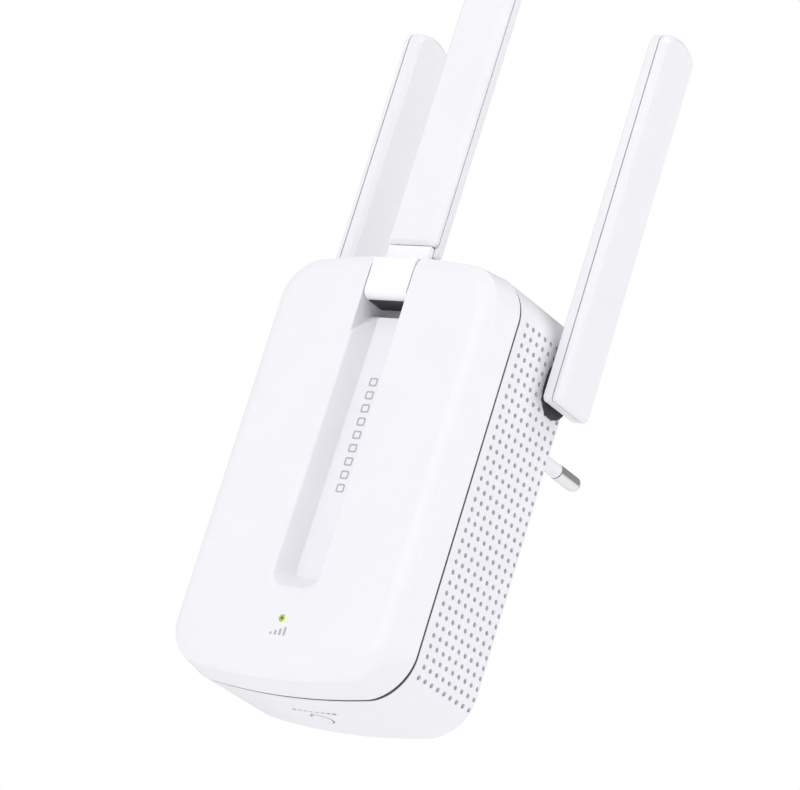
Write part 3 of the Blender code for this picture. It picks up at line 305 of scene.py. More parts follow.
def circuit_board(name):
    """Solder resist over a faint pattern of copper tracks."""
    made, tree, shader = principled(name, (0.03, 0.20, 0.09), 0.4, coat=0.3)
    place = tree.nodes.new("ShaderNodeTexCoord")
    tracks = node(tree, "ShaderNodeTexVoronoi", Scale=420.0)
    tracks.distance = "MANHATTAN"
    ramp = tree.nodes.new("ShaderNodeValToRGB")
    ramp.color_ramp.elements[0].position = 0.42
    ramp.color_ramp.elements[1].position = 0.50
    ramp.color_ramp.elements[0].color = (0.022, 0.16, 0.07, 1.0)
    ramp.color_ramp.elements[1].color = (0.05, 0.27, 0.12, 1.0)
    tree.links.new(place.outputs["Object"], tracks.inputs["Vector"])
    tree.links.new(tracks.outputs["Distance"], ramp.inputs["Fac"])
    tree.links.new(ramp.outputs["Color"], shader.inputs["Base Color"])
    return made


def status_window(name):
    """Clear green plastic, dark at the middle of the window and lit softly at its rim."""
    made, tree, shader = principled(name, (0.20, 0.30, 0.012), 0.30, coat=0.3)
    place = tree.nodes.new("ShaderNodeTexCoord")
    middle = (light_low + light_high) / 2
    offset = node(tree, "ShaderNodeVectorMath")
    offset.operation = "SUBTRACT"
    offset.inputs[1].default_value = (middle.x, light_low.y, middle.z)
    length = node(tree, "ShaderNodeVectorMath")
    length.operation = "LENGTH"
    ramp = tree.nodes.new("ShaderNodeValToRGB")
    ramp.color_ramp.elements[0].position = 0.35
    ramp.color_ramp.elements[1].position = 0.85
    ramp.color_ramp.elements[0].color = (0.05, 0.10, 0.01, 1.0)
    ramp.color_ramp.elements[1].color = (0.46, 0.68, 0.03, 1.0)
    span = node(tree, "ShaderNodeMapRange", From_Min=0.0, From_Max=LIGHT_FADE_RADIUS)
    tree.links.new(place.outputs["Object"], offset.inputs[0])
    tree.links.new(offset.outputs["Vector"], length.inputs[0])
    tree.links.new(length.outputs["Value"], span.inputs["Value"])
    tree.links.new(span.outputs["Result"], ramp.inputs["Fac"])
    tree.links.new(ramp.outputs["Color"], shader.inputs["Base Color"])
    tree.links.new(ramp.outputs["Color"], shader.inputs["Emission Color"])
    shader.inputs["Emission Strength"].default_value = 0.25
    return made


LOOKS = {
    "case_white": moulded_plastic("case_white_look", (0.850, 0.846, 0.885), (0.30, 0.40)),
    "gloss_white": moulded_plastic("gloss_white_look", (0.93, 0.93, 0.95), (0.10, 0.16),
                                   coat=0.4, grain=0.01),
    "antenna_white": moulded_plastic("antenna_white_look", (0.850, 0.846, 0.880), (0.32, 0.42)),
    "button_white": moulded_plastic("button_white_look", (0.84, 0.84, 0.87), (0.30, 0.42)),
    "sleeve_white": moulded_plastic("sleeve_white_look", (0.86, 0.86, 0.87), (0.38, 0.50)),
    "plug_chrome": worn_metal("plug_chrome_look", (0.84, 0.84, 0.86), (0.08, 0.16)),
    "screw_steel": worn_metal("screw_steel_look", (0.55, 0.55, 0.57), (0.28, 0.45)),
    "contact_brass": worn_metal("contact_brass_look", (0.78, 0.60, 0.28), (0.22, 0.38)),
    "board_green": circuit_board("board_green_look"),
    # This black is also the colour of the dark pieces of painted shade and painted shadow.
    "chip_black": moulded_plastic("chip_black_and_painted_shade_look", (0.03, 0.03, 0.03), (0.50, 0.62)),
    "shield_tin": worn_metal("shield_tin_look", (0.70, 0.70, 0.72), (0.28, 0.42)),
    "ferrite": moulded_plastic("ferrite_look", (0.06, 0.06, 0.065), (0.62, 0.78), grain=0.2),
    "winding_tape": moulded_plastic("winding_tape_look", (0.85, 0.70, 0.10), (0.40, 0.55)),
    "capacitor_sleeve": moulded_plastic("capacitor_sleeve_look", (0.05, 0.05, 0.09), (0.28, 0.4)),
    "copper": worn_metal("copper_look", (0.72, 0.38, 0.22), (0.28, 0.42)),
    "lead_grey": moulded_plastic("lead_grey_look", (0.20, 0.20, 0.21), (0.42, 0.55)),
    "light_green": status_window("light_green_look"),
    "fuse_brown": moulded_plastic("fuse_brown_look", (0.30, 0.13, 0.05), (0.42, 0.58)),
    "mark_grey": moulded_plastic("mark_grey_look", (0.46, 0.46, 0.47), (0.45, 0.55)),
}


# ---------------------------------------------------------------- mesh helpers

def finish_mesh(bm, name):
    """Turn a bmesh into a mesh with its faces pointing outwards."""
    bmesh.ops.recalc_face_normals(bm, faces=bm.faces)
    if bm.calc_volume(signed=True) < 0:
        bmesh.ops.reverse_faces(bm, faces=bm.faces)
    mesh = bpy.data.meshes.new(name)
    bm.to_mesh(mesh)
    bm.free()
    return mesh


def place_mesh(name, mesh, look=None):
    """Link a mesh into the scene with one material."""
    made = bpy.data.objects.new(name, mesh)
    bpy.context.scene.collection.objects.link(made)
    if look is not None:
        mesh.materials.append(LOOKS[look])
    return made


def loft(name, rings, closed=False):
    """A closed body skinned through rings of equal count, capped at the ends or closed up."""
    bm = bmesh.new()
    loops = [[bm.verts.new(point) for point in ring] for ring in rings]
    pairs = list(zip(loops, loops[1:]))
    if closed:
        pairs.append((loops[-1], loops[0]))
    count = len(loops[0])
    for low, high in pairs:
        for i in range(count):
            j = (i + 1) % count
            bm.faces.new((low[i], low[j], high[j], high[i]))
    if not closed:
        bm.faces.new(loops[0])
        bm.faces.new(loops[-1])
    return finish_mesh(bm, name)


def box_mesh(name, low, high):
    """A box between two corners, used to cut or join."""
    low = Vector(low)
    high = Vector(high)
    bm = bmesh.new()
    bmesh.ops.create_cube(bm, size=1.0,
                          matrix=Matrix.LocRotScale((low + high) / 2, None, high - low))
    return finish_mesh(bm, name)


def rod_mesh(name, axis, places, radius, start, end, steps=32):
    """One mesh of parallel rods along an axis; places holds their other two coordinates."""
    turn = {"X": Matrix.Rotation(math.pi / 2, 4, "Y"),
            "Y": Matrix.Rotation(math.pi / 2, 4, "X"),
            "Z": Matrix.Identity(4)}[axis]
    bm = bmesh.new()
    middle = (start + end) / 2
    for first, second in places:
        centre = {"X": (middle, first, second),
                  "Y": (first, middle, second),
                  "Z": (first, second, middle)}[axis]
        bmesh.ops.create_cone(bm, cap_ends=True, segments=steps, radius1=radius, radius2=radius,
                              depth=end - start, matrix=Matrix.Translation(centre) @ turn)
    return finish_mesh(bm, name)


def carve(target, steps):
    """Run exact Booleans in order and keep the result as the object's own mesh."""
    tools = []
    for index, (operation, mesh) in enumerate(steps):
        tool = place_mesh(f"tool_{target.name}_{index}", mesh)
        tools.append(tool)
        boolean = target.modifiers.new(tool.name, "BOOLEAN")
        boolean.operation = operation
        boolean.solver = "EXACT"
        boolean.object = tool
    keep_result(target)
    for tool in tools:
        bpy.data.meshes.remove(tool.data)


def keep_result(target):
    """Apply an object's modifiers to its mesh."""
    bpy.context.view_layer.update()
    graph = bpy.context.evaluated_depsgraph_get()
    mesh = bpy.data.meshes.new_from_object(target.evaluated_get(graph))
    target.modifiers.clear()
    target.data = mesh


def even_shading(target, angle=30.0):
    """Smooth shading with crisp edges kept, and flat faces kept flat."""
    target.data.shade_smooth()
    target.data.set_sharp_from_angle(angle=math.radians(angle))
    weighted = target.modifiers.new("even_shading", "WEIGHTED_NORMAL")
    weighted.keep_sharp = True
    weighted.weight = 50


def arc(centre_u, centre_v, radius, start, end, steps):
    """Points along an arc; angles are in degrees."""
    angles = [math.radians(start + (end - start) * i / steps) for i in range(steps + 1)]
    return [(centre_u + radius * math.cos(a), centre_v + radius * math.sin(a)) for a in angles]


def stand_for(piece, body, slot, *nodes):
    """Let a piece ride on a body in place of CAD nodes."""
    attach(piece, body)
    if nodes:
        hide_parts(*nodes)
    return piece


# ---------------------------------------------------------------- case

def case_ring(inset, y, corner_steps=20, edge_steps=16):
    """The case outline pulled in by inset, at depth y."""
    radius = max(CORNER_RADIUS - inset, SMALLEST_CORNER)
    half_width = HALF_WIDTH - inset
    half_height = HALF_HEIGHT - inset
    corner_x = half_width - radius
    corner_z = half_height - radius
    outline = []
    for sign_x, sign_z, start in ((1, 1, 0), (-1, 1, 90), (-1, -1, 180), (1, -1, 270)):
        outline += arc(sign_x * corner_x, sign_z * corner_z, radius, start, start + 90, corner_steps)
        if start in (0, 180):
            step = -sign_x * 2 * corner_x / edge_steps
            outline += [(sign_x * corner_x + step * i, sign_z * half_height)
                        for i in range(1, edge_steps)]
    return [(x, y, CENTRE_Z + z - math.copysign(END_CROWN * (x / half_width) ** 2, z))
            for x, z in outline]


def widen_below(ring):
    """Move a ring forward towards its lower end, where the parting line is wider."""
    start_z = BOTTOM_Z + SEAM_FADE + END_CROWN
    return [(x, y - SEAM_WIDENING * min(max((start_z - z) / SEAM_FADE, 0.0), 1.0), z)
            for x, y, z in ring]


def seam_edge(y, direction):
    """Rings that round an outer edge over to the parting line at depth y."""
    radius = SEAM_EDGE_RADIUS
    turns = [math.radians(90 * i / 4) for i in range(5)]
    return [case_ring(radius * (1 - math.cos(turn)), y + direction * radius * (1 - math.sin(turn)))
            for turn in turns]


def groove_ring(inset, y, steps=12):
    """The groove outline pulled in by inset, at depth y; it runs up into the hinge slot."""
    top = GROOVE_HALF_TOP - inset
    bottom = GROOVE_HALF_BOTTOM - inset
    radius = GROOVE_CORNER - inset * 0.6
    base_z = GROOVE_BOTTOM_Z + inset * GROOVE_END_SLOPE
    outline = [(top, GROOVE_TOP_Z), (-top, GROOVE_TOP_Z)]
    outline += arc(-bottom + radius, base_z + radius, radius, 180, 270, steps)
    outline += arc(bottom - radius, base_z + radius, radius, 270, 360, steps)
    return [(x, y, z) for x, z in outline]


def groove_tool():
    """The groove as a cutter with a rounded rim, sloping sides and a small foot radius."""
    rim = GROOVE_RIM_RADIUS
    foot = GROOVE_FOOT_RADIUS
    lean = GROOVE_LEAN
    rim_start = GROOVE_RIM_START
    rings = [groove_ring(-1.2 * OVERSHOOT, FRONT_Y - OVERSHOOT),
             groove_ring(rim_start, FRONT_Y - GROOVE_START_RISE)]
    for i in range(7):
        turn = GROOVE_FIRST_TURN + (math.pi / 2 - lean - GROOVE_FIRST_TURN) * i / 6
        rings.append(groove_ring(rim_start + rim * math.sin(turn),
                                 FRONT_Y + rim * (1 - math.cos(turn))))
    slope_inset = rim_start + rim * math.cos(lean)
    slope_y = FRONT_Y + rim * (1 - math.sin(lean))
    floor_y = FRONT_Y + GROOVE_DEPTH
    foot_inset = slope_inset + (floor_y - foot - slope_y) * math.tan(lean)
    rings.append(groove_ring(foot_inset, floor_y - foot))
    rings.append(groove_ring(foot_inset + foot * 0.35, floor_y - foot * 0.35))
    rings.append(groove_ring(foot_inset + foot, floor_y))
    return loft("groove_tool", rings)


def slot_tool(over):
    """The hinge slot as a cutter; its lower end slopes from the rim up to the groove floor."""
    floor_y = FRONT_Y + GROOVE_DEPTH
    slope = (SLOT_BOTTOM_Z - SLOT_RIM_Z) / GROOVE_DEPTH
    side = [(FRONT_Y - over, SLOT_RIM_Z - slope * over), (floor_y, SLOT_BOTTOM_Z),
            (SLOT_BACK_Y, SLOT_BOTTOM_Z), (SLOT_BACK_Y, TOP_Z + over),
            (FRONT_Y - over, TOP_Z + over)]
    return loft("slot", [[(x, y, z) for y, z in side] for x in (-SLOT_HALF_WIDTH, SLOT_HALF_WIDTH)])


def make_front_cover():
    """Front cover with its rolled plateau, skirt, groove, hinge slot and light hole."""
    roll_steps = 14
    rings = [case_ring(EDGE_INSET + ROLL_WIDTH + PLATEAU_MARGIN, FRONT_Y)]
    for i in range(roll_steps + 1):
        along = i / roll_steps
        inset = EDGE_INSET + ROLL_WIDTH * (1 - along)
        rings.append(case_ring(inset, FRONT_Y + EDGE_DROP * along ** ROLL_POWER))
    edge_y = FRONT_Y + EDGE_DROP
    seam = SEAM_Y - SEAM_GAP / 2
    rings.append(case_ring(EDGE_INSET - EDGE_SOFT_INSET, edge_y + EDGE_SOFT_DROP))
    rings.append(widen_below(case_ring(SKIRT_END_INSET, seam - SKIRT_END_DROP)))
    rings += [widen_below(ring) for ring in seam_edge(seam, -1)]
    rings.append(widen_below(case_ring(LIP_OUTER, seam)))
    rings.append(case_ring(LIP_OUTER, SEAM_Y + LIP_LENGTH))
    rings.append(case_ring(LIP_INNER, SEAM_Y + LIP_LENGTH))
    rings.append(case_ring(LIP_INNER, edge_y + ROOF_DROP))
    rings.append(case_ring(EDGE_INSET + ROLL_WIDTH, FRONT_Y + WALL))
    cover = place_mesh("cover_shell", loft("cover_shell", rings), "case_white")

    over = OVERSHOOT
    tub_top = TOP_Z - LIP_INNER + over
    light_z = (light_low.z + light_high.z) / 2
    carve(cover, [
        ("UNION", box_mesh("tub", (-TUB_HALF_WIDTH, FRONT_Y + over, GROOVE_BOTTOM_Z - TUB_WALL),
                           (TUB_HALF_WIDTH, FRONT_Y + GROOVE_DEPTH + TUB_WALL, tub_top))),
        ("UNION", box_mesh("lugs", (-TUB_HALF_WIDTH, FRONT_Y + over, SLOT_BOTTOM_Z - TUB_WALL),
                           (TUB_HALF_WIDTH, SEAM_Y - FIT_GAP, tub_top))),
        ("UNION", box_mesh("slot_back", (-TUB_HALF_WIDTH, SEAM_Y - over, SLOT_BOTTOM_Z - TUB_WALL),
                           (TUB_HALF_WIDTH, SLOT_BACK_Y + SLOT_BACK_WALL, TOP_Z - SLOT_BACK_TOP_DROP))),
        ("DIFFERENCE", groove_tool()),
        ("DIFFERENCE", slot_tool(over)),
        ("DIFFERENCE", rod_mesh("lead_hole", "Y", [(0.0, LEAD_HOLE_Z)], LEAD_HOLE_RADIUS,
                                SLOT_BACK_Y - over, SLOT_BACK_Y + SLOT_BACK_WALL + over)),
        ("DIFFERENCE", rod_mesh("pin_bore", "X", [(PIVOT_Y, PIVOT_Z)], PIN_BORE_RADIUS,
                                -TUB_HALF_WIDTH - over, TUB_HALF_WIDTH + over)),
        ("DIFFERENCE", rod_mesh("light_hole", "Y", [(0.0, light_z)], LIGHT_HOLE_RADIUS,
                                FRONT_Y - over, FRONT_Y + WALL + over, 32)),
    ])
    even_shading(cover)
    stand_for(cover, "housing", "case_white", "front_cover")


def vent_places():
    """The vent holes of one side wall, as (y, z)."""
    return [(VENT_FIRST_Y + column * VENT_COLUMN_PITCH, VENT_TOP_Z - row * VENT_ROW_PITCH)
            for column in range(VENT_COLUMNS) for row in range(VENT_ROWS)]


def plug_opening(low_y, high_y):
    """The opening in the back wall that the plug boss comes through."""
    spread = PLUG_FLANGE_WIDTH - FIT_GAP
    half_width = plug_high.x - spread
    half_height = plug_high.z - spread
    radius = PLUG_CORNER + FIT_GAP
    outline = []
    for sign_x, sign_z, start in ((1, 1, 0), (-1, 1, 90), (-1, -1, 180), (1, -1, 270)):
        outline += arc(sign_x * (half_width - radius), sign_z * (half_height - radius),
                       radius, start, start + 90, 8)
    return loft("plug_opening", [[(x, y, z) for x, z in outline] for y in (low_y, high_y)])


def make_rear_tray():
    """Rear housing with its vent grids, hub holes, plug opening, button hole and screw bores."""
    round_steps = 10
    rings = []
    for i in range(round_steps + 1):
        turn = math.pi / 2 * i / round_steps
        rings.append(case_ring(BACK_RADIUS * (1 - math.sin(turn)),
                               BACK_Y - BACK_RADIUS * (1 - math.cos(turn))))
    seam = SEAM_Y + SEAM_GAP / 2
    rings += seam_edge(seam, 1)
    rings.append(case_ring(WALL, seam))
    rings.append(case_ring(WALL, BACK_Y - WALL - INNER_CHAMFER))
    rings.append(case_ring(WALL + INNER_CHAMFER, BACK_Y - WALL))
    tray = place_mesh("rear_tray", loft("rear_tray", rings), "case_white")

    over = OVERSHOOT
    screws = [(centre.x, centre.z) for centre in screw_centres()]
    head_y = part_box("case_screw_1")[1].y - SCREW_HEAD_DEPTH
    steps = [
        ("UNION", rod_mesh("posts", "Y", screws, SCREW_POST_RADIUS, SCREW_POST_FRONT_Y,
                           BACK_Y - over)),
        ("DIFFERENCE", rod_mesh("heads", "Y", screws, SCREW_HEAD_BORE_RADIUS, head_y,
                                BACK_Y + over)),
        ("DIFFERENCE", rod_mesh("shanks", "Y", screws, SCREW_SHANK_BORE_RADIUS,
                                SCREW_POST_FRONT_Y - over, head_y + over, 24)),
        ("DIFFERENCE", plug_opening(BACK_Y - WALL - over, BACK_Y + over)),
        ("DIFFERENCE", rod_mesh("button_hole", "Z", [(0.0, button_middle_y())], BUTTON_HOLE_RADIUS,
                                BOTTOM_Z - over, BOTTOM_Z + WALL + over, 48)),
    ]
    vents = [(y, z) for y, z in vent_places()
             if math.hypot(y - HUB_Y, z - HUB_Z) > VENT_HUB_CLEARANCE]
    for sign in (-1, 1):
        low, high = sorted((sign * (HALF_WIDTH - WALL - over), sign * (HALF_WIDTH + over)))
        steps.append(("DIFFERENCE", rod_mesh("hub_hole", "X", [(HUB_Y, HUB_Z)], HUB_HOLE_RADIUS,
                                             low, high, 48)))
        steps.append(("DIFFERENCE", rod_mesh("vents", "X", vents, VENT_RADIUS, low, high, 14)))
    carve(tray, steps)
    even_shading(tray)
    stand_for(tray, "housing", "case_white", "rear_housing")


def make_seam_shade_strip():
    """A dark strip in the parting line between cover and housing: painted shade in place of the shadow
    deep in the gap.
    """
    half = SEAM_GAP / 2 - SEAM_SHADE_FIT
    rings = [widen_below(case_ring(SEAM_SHADE_INSET, SEAM_Y - half)),
             case_ring(SEAM_SHADE_INSET, SEAM_Y + half),
             case_ring(SEAM_SHADE_BACK_INSET, SEAM_Y + half),
             widen_below(case_ring(SEAM_SHADE_BACK_INSET, SEAM_Y - half))]
    shade_strip = place_mesh("seam_shade_strip", loft("seam_shade_strip", rings, closed=True), "chip_black")
    half_gap = TUB_HALF_WIDTH + SEAM_SHADE_TUB_GAP
    carve(shade_strip, [("DIFFERENCE", box_mesh("gap", (-half_gap, SEAM_Y - WALL, 0.0),
                                           (half_gap, SEAM_Y + WALL, TOP_Z + WALL)))])
    even_shading(shade_strip)
    stand_for(shade_strip, "housing", "chip_black")


def make_vent_shade_sheets():
    """A thin dark sheet behind each vent grid, bowed to the inside of the wall: painted shade that
    darkens the holes as the shade inside the case would.
    """
    low_z = VENT_TOP_Z - (VENT_ROWS - 1) * VENT_ROW_PITCH - SHADE_SHEET_MARGIN
    high_z = VENT_TOP_Z + SHADE_SHEET_MARGIN
    low_y = VENT_FIRST_Y - SHADE_SHEET_FRONT_MARGIN
    high_y = BACK_Y - WALL - SHADE_SHEET_BACK_MARGIN
    for side, sign in (("left", -1), ("right", 1)):
        outline = [(point[0], point[2]) for point in case_ring(WALL + SHADE_SHEET_WALL_GAP, 0.0)
                   if point[0] * sign > HALF_WIDTH * 0.8 and low_z < point[2] < high_z]
        outline.sort(key=lambda point: point[1])
        back = [(x - sign * SHADE_SHEET_THICKNESS, z) for x, z in reversed(outline)]
        ring = outline + back
        mesh = loft(f"vent_shade_sheet_{side}", [[(x, y, z) for x, z in ring] for y in (low_y, high_y)])
        shade_sheet = place_mesh(f"vent_shade_sheet_{side}", mesh, "chip_black")
        carve(shade_sheet, [("DIFFERENCE", rod_mesh("hub_gap", "X", [(HUB_Y, HUB_Z)], SHADE_SHEET_HUB_RADIUS,
                                               -HALF_WIDTH, HALF_WIDTH))])
        even_shading(shade_sheet)
        stand_for(shade_sheet, "housing", "chip_black")


def screw_centres():
    """The middle of each case screw."""
    return [sum(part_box(f"case_screw_{index}"), Vector()) / 2 for index in range(1, 5)]


def button_middle_y():
    """The round cap of the pair button lies at the rear end of its plate."""
    return button_high.y - BUTTON_CAP_OFFSET


# ---------------------------------------------------------------- antennas

def antenna_ring(half_width, length, inset, y, bottom):
    """The outline of an antenna pulled in by inset, at depth y, with its length along +Z."""
    half = half_width - inset
    low = bottom + inset
    high = length - inset
    tip_radius = max(ANTENNA_TIP_CORNER - inset * 0.5, SMALLEST_TIP_CORNER)
    foot_radius = max(ANTENNA_FOOT_CORNER - inset * 0.5, SMALLEST_FOOT_CORNER)
    reach = half - tip_radius
    foot_reach = half - foot_radius
    steps = 16
    outline = arc(reach, high - tip_radius, tip_radius, 0, 90, 8)
    outline += [(reach - 2 * reach * i / steps, high) for i in range(1, steps)]
    outline += arc(-reach, high - tip_radius, tip_radius, 90, 180, 8)
    outline += arc(-foot_reach, low + foot_radius, foot_radius, 180, 270, 8)
    outline += arc(foot_reach, low + foot_radius, foot_radius, 270, 360, 8)
    return [(x, y, z + (ANTENNA_CROWN * (1 - (x / half) ** 2) if z > length / 2 else 0.0))
            for x, z in outline]


def antenna_shell(name, depth, direction, bottom, length, half_width):
    """One half of an antenna: a tray with a softly edged flat face and a fine parting edge."""
    chamfer = ANTENNA_CHAMFER
    soft = ANTENNA_SOFT_EDGE
    wall = ANTENNA_WALL
    mouth = ANTENNA_PARTING
    face = direction * depth

    def ring(inset, from_parting):
        return antenna_ring(half_width, length, inset, direction * from_parting, bottom)

    rings = [ring(chamfer + 3 * soft, depth),
             ring(chamfer + soft, depth),
             ring(chamfer + soft * 0.3, depth - soft * 0.3),
             ring(soft * 0.3, depth - chamfer + soft * 0.3),
             ring(0.0, depth - chamfer - soft),
             ring(0.0, mouth + PARTING_BEVEL_DEPTH),
             ring(PARTING_BEVEL_INSET, mouth),
             ring(wall, mouth),
             ring(wall + ANTENNA_FLOOR_TAPER, abs(face) - wall)]
    return loft(name, rings)


def make_middle_antenna():
    """The front and rear shell of the middle antenna, with the mouth that takes the tongue."""
    front_low, front_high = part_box("middle_front_shell")
    rear_low, rear_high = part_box("middle_rear_shell")
    half_width = (front_high.x - front_low.x) / 2
    parting_y = (front_high.y + rear_low.y) / 2
    length = front_high.z - front_low.z - ANTENNA_CROWN
    mouth_low = (-MOUTH_HALF_WIDTH, front_low.y + OVERSHOOT, rear_low.z - OVERSHOOT)
    mouth_high = (MOUTH_HALF_WIDTH, parting_y + MOUTH_BACK_DEPTH, front_low.z + MOUTH_RISE)
    for name, node_name, low, high, direction in (
            ("antenna_face_middle", "middle_front_shell", front_low, front_high, -1),
            ("antenna_back_middle", "middle_rear_shell", rear_low, rear_high, 1)):
        depth = max(abs(low.y - parting_y), abs(high.y - parting_y))
        bottom = low.z - front_low.z
        mesh = antenna_shell(name, depth, direction, bottom, length, half_width)
        mesh.transform(Matrix.Translation((0.0, parting_y, front_low.z)))
        shell = place_mesh(name, mesh, "antenna_white")
        carve(shell, [("DIFFERENCE", box_mesh("mouth", mouth_low, mouth_high))])
        even_shading(shell)
        stand_for(shell, "middle_antenna", "antenna_white", node_name)


def make_side_antennas():
    """Both half shells of each side antenna."""
    for side, sign in (("left", -1), ("right", 1)):
        outer_low, outer_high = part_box(f"{side}_outer_shell")
        inner_low, inner_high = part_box(f"{side}_inner_shell")
        face_x = max(abs(outer_low.x), abs(outer_high.x))
        back_x = min(abs(inner_low.x), abs(inner_high.x))
        parting_x = min(abs(outer_low.x), abs(outer_high.x)) - ANTENNA_PARTING
        half_width = (outer_high.y - outer_low.y) / 2
        length = outer_high.z - outer_low.z - ANTENNA_CROWN
        middle_y = (outer_low.y + outer_high.y) / 2
        place = (Matrix.Translation((sign * parting_x, middle_y, outer_low.z))
                 @ Matrix.Rotation(sign * math.pi / 2, 4, "Z"))
        for kind, depth, direction in (("outer", face_x - parting_x, -1),
                                       ("inner", parting_x - back_x, 1)):
            name = f"antenna_{kind}_{side}"
            mesh = antenna_shell(name, depth, direction, 0.0, length, half_width)
            mesh.transform(place)
            shell = place_mesh(name, mesh, "antenna_white")
            if kind == "inner":
                low, high = sorted((sign * (parting_x - SPIGOT_HOLE_START),
                                    sign * (parting_x - SPIGOT_HOLE_END)))
                carve(shell, [("DIFFERENCE", rod_mesh("spigot_hole", "X", [(HUB_Y, HUB_Z)],
                                                      SPIGOT_HOLE_RADIUS, low, high, 48))])
            even_shading(shell)
            stand_for(shell, f"{side}_antenna", "antenna_white", f"{side}_{kind}_shell")


def make_hub_shadow_pads():
    """A thin dark pad on the wall around each hub, reaching further below it: painted shadow under the
    foot of each side antenna.
    """
    turns = [math.radians(360 * i / 48) for i in range(48)]
    inner = [HUB_SHADOW_INNER_RADIUS] * len(turns)
    # The painted shadow reaches further down, below the hub.
    outer = [HUB_SHADOW_OUTER_RADIUS + HUB_SHADOW_DROP * max(0.0, -math.sin(turn)) ** 2 for turn in turns]
    for side, sign in (("left", -1), ("right", 1)):
        wall_x = sign * (HALF_WIDTH + HUB_SHADOW_FIT)
        top_x = sign * (HALF_WIDTH + HUB_SHADOW_THICKNESS)
        rings = []
        for radii, x in ((inner, wall_x), (outer, wall_x), (outer, top_x), (inner, top_x)):
            rings.append([(x, HUB_Y + radius * math.cos(turn), HUB_Z + radius * math.sin(turn))
                          for radius, turn in zip(radii, turns)])
        shadow_pad = place_mesh(f"hub_shadow_pad_{side}", loft("shadow_pad", rings, closed=True), "chip_black")
        even_shading(shadow_pad)
        stand_for(shadow_pad, "housing", "chip_black")


# ---------------------------------------------------------------- hinge block

def make_hinge_block():
    """The gloss block of the middle hinge, with softened side edges."""
    source = frame["nodes"]["middle_hinge_block"]
    block = place_mesh("hinge_block", source.data.copy())
    block.data.materials.clear()
    block.data.materials.append(LOOKS["gloss_white"])
    rounding = block.modifiers.new("side_rounding", "BEVEL")
    rounding.width = BLOCK_EDGE_RADIUS
    rounding.segments = 3
    rounding.limit_method = "ANGLE"
    rounding.angle_limit = math.radians(40)
    rounding.harden_normals = True
    block.data.shade_smooth()
    stand_for(block, "middle_antenna", "gloss_white", "middle_hinge_block")


def make_hinge_shade_pad():
    """A thin dark pad under the hinge block: painted shade that darkens the underside of the block."""
    pad = place_mesh("hinge_shade_pad", box_mesh(
        "hinge_shade_pad",
        (block_low.x + PAD_SIDE_INSET, block_low.y + BLOCK_ROUND + PAD_FRONT_INSET,
         block_low.z - PAD_DROP),
        (block_high.x - PAD_SIDE_INSET, BLOCK_BACK_Y - BLOCK_ROUND, block_low.z - PAD_FIT)),
        "chip_black")
    stand_for(pad, "middle_antenna", "chip_black")


# ---------------------------------------------------------------- marks

def bar_outline(u, v, half_u, half_v, roundness=0.9):
    """A rounded bar seen from above."""
    radius = min(half_u, half_v) * roundness
    outline = []
    for sign_u, sign_v, start in ((1, 1, 0), (-1, 1, 90), (-1, -1, 180), (1, -1, 270)):
        outline += arc(u + sign_u * (half_u - radius), v + sign_v * (half_v - radius),
                       radius, start, start + 90, 4)
    return outline


def raised_bars(name, bars, place, height, rim=0.0):
    """Rounded bars in one mesh; bars holds (u, v, half_u, half_v); a rim makes them hollow."""
    bm = bmesh.new()
    for u, v, half_u, half_v in bars:
        roundness = 0.4 if rim else 0.9
        outline = bar_outline(u, v, half_u, half_v, roundness)
        loops = [[bm.verts.new(place(a, b, w)) for a, b in outline] for w in (0.0, height)]
        if rim:
            hole = bar_outline(u, v, half_u - rim, half_v - rim, roundness)
            loops += [[bm.verts.new(place(a, b, w)) for a, b in hole] for w in (height, 0.0)]
        pairs = list(zip(loops, loops[1:]))
        if rim:
            pairs.append((loops[-1], loops[0]))
        else:
            bm.faces.new(loops[0])
            bm.faces.new(loops[-1])
        count = len(outline)
        for low, high in pairs:
            for i in range(count):
                j = (i + 1) % count
                bm.faces.new((low[i], low[j], high[j], high[i]))
    made = place_mesh(name, finish_mesh(bm, name), "mark_grey")
    made.data.shade_smooth()
    made.data.set_sharp_from_angle(angle=math.radians(40))
    stand_for(made, "housing", "lead_grey")
    return made


def make_marks():
    """Generic marks: frames on the groove floor, signal bars under the light, button ticks."""
    floor_y = FRONT_Y + GROOVE_DEPTH
    frames = [(FRAME_X, FRAME_FIRST_Z - FRAME_PITCH * i, FRAME_HALF_WIDTH, FRAME_HALF_HEIGHT)
              for i in range(FRAME_COUNT)]
    raised_bars("groove_dashes", frames,
                lambda u, v, w: (u, floor_y + MARK_SINK - w, v), FRAME_RELIEF, rim=FRAME_RIM)
    light_z = (light_low.z + light_high.z) / 2
    base_z = light_z - BAR_DROP
    half_heights = [BAR_FIRST_HALF_HEIGHT + BAR_HALF_HEIGHT_STEP * i for i in range(BAR_COUNT)]
    signal = [((i - 1.5) * BAR_PITCH, base_z + half, BAR_HALF_WIDTH, half)
              for i, half in enumerate(half_heights)]
    raised_bars("signal_bars", signal,
                lambda u, v, w: (u, FRONT_Y + MARK_SINK - w, v), BAR_RELIEF)
    ticks = [(TICK_FIRST_X + TICK_PITCH * i, button_middle_y() - TICK_OFFSET, TICK_HALF_WIDTH,
              TICK_HALF_DEPTH)
             for i in range(TICK_COUNT)]
    raised_bars("button_ticks", ticks,
                lambda u, v, w: (u, v, BOTTOM_Z + TICK_SINK - w), TICK_RELIEF)


# ---------------------------------------------------------------- solids that are kept

def dress_solids():
    """Give every remaining CAD node its finished material."""
    slots = {row["node"]: row["material_slot"] for row in frame["record"]["subparts"]}
    for name, item in frame["nodes"].items():
        if item.hide_render:
            continue
        item.data.materials.clear()
        item.data.materials.append(LOOKS[slots[name]])


# ---------------------------------------------------------------- stage

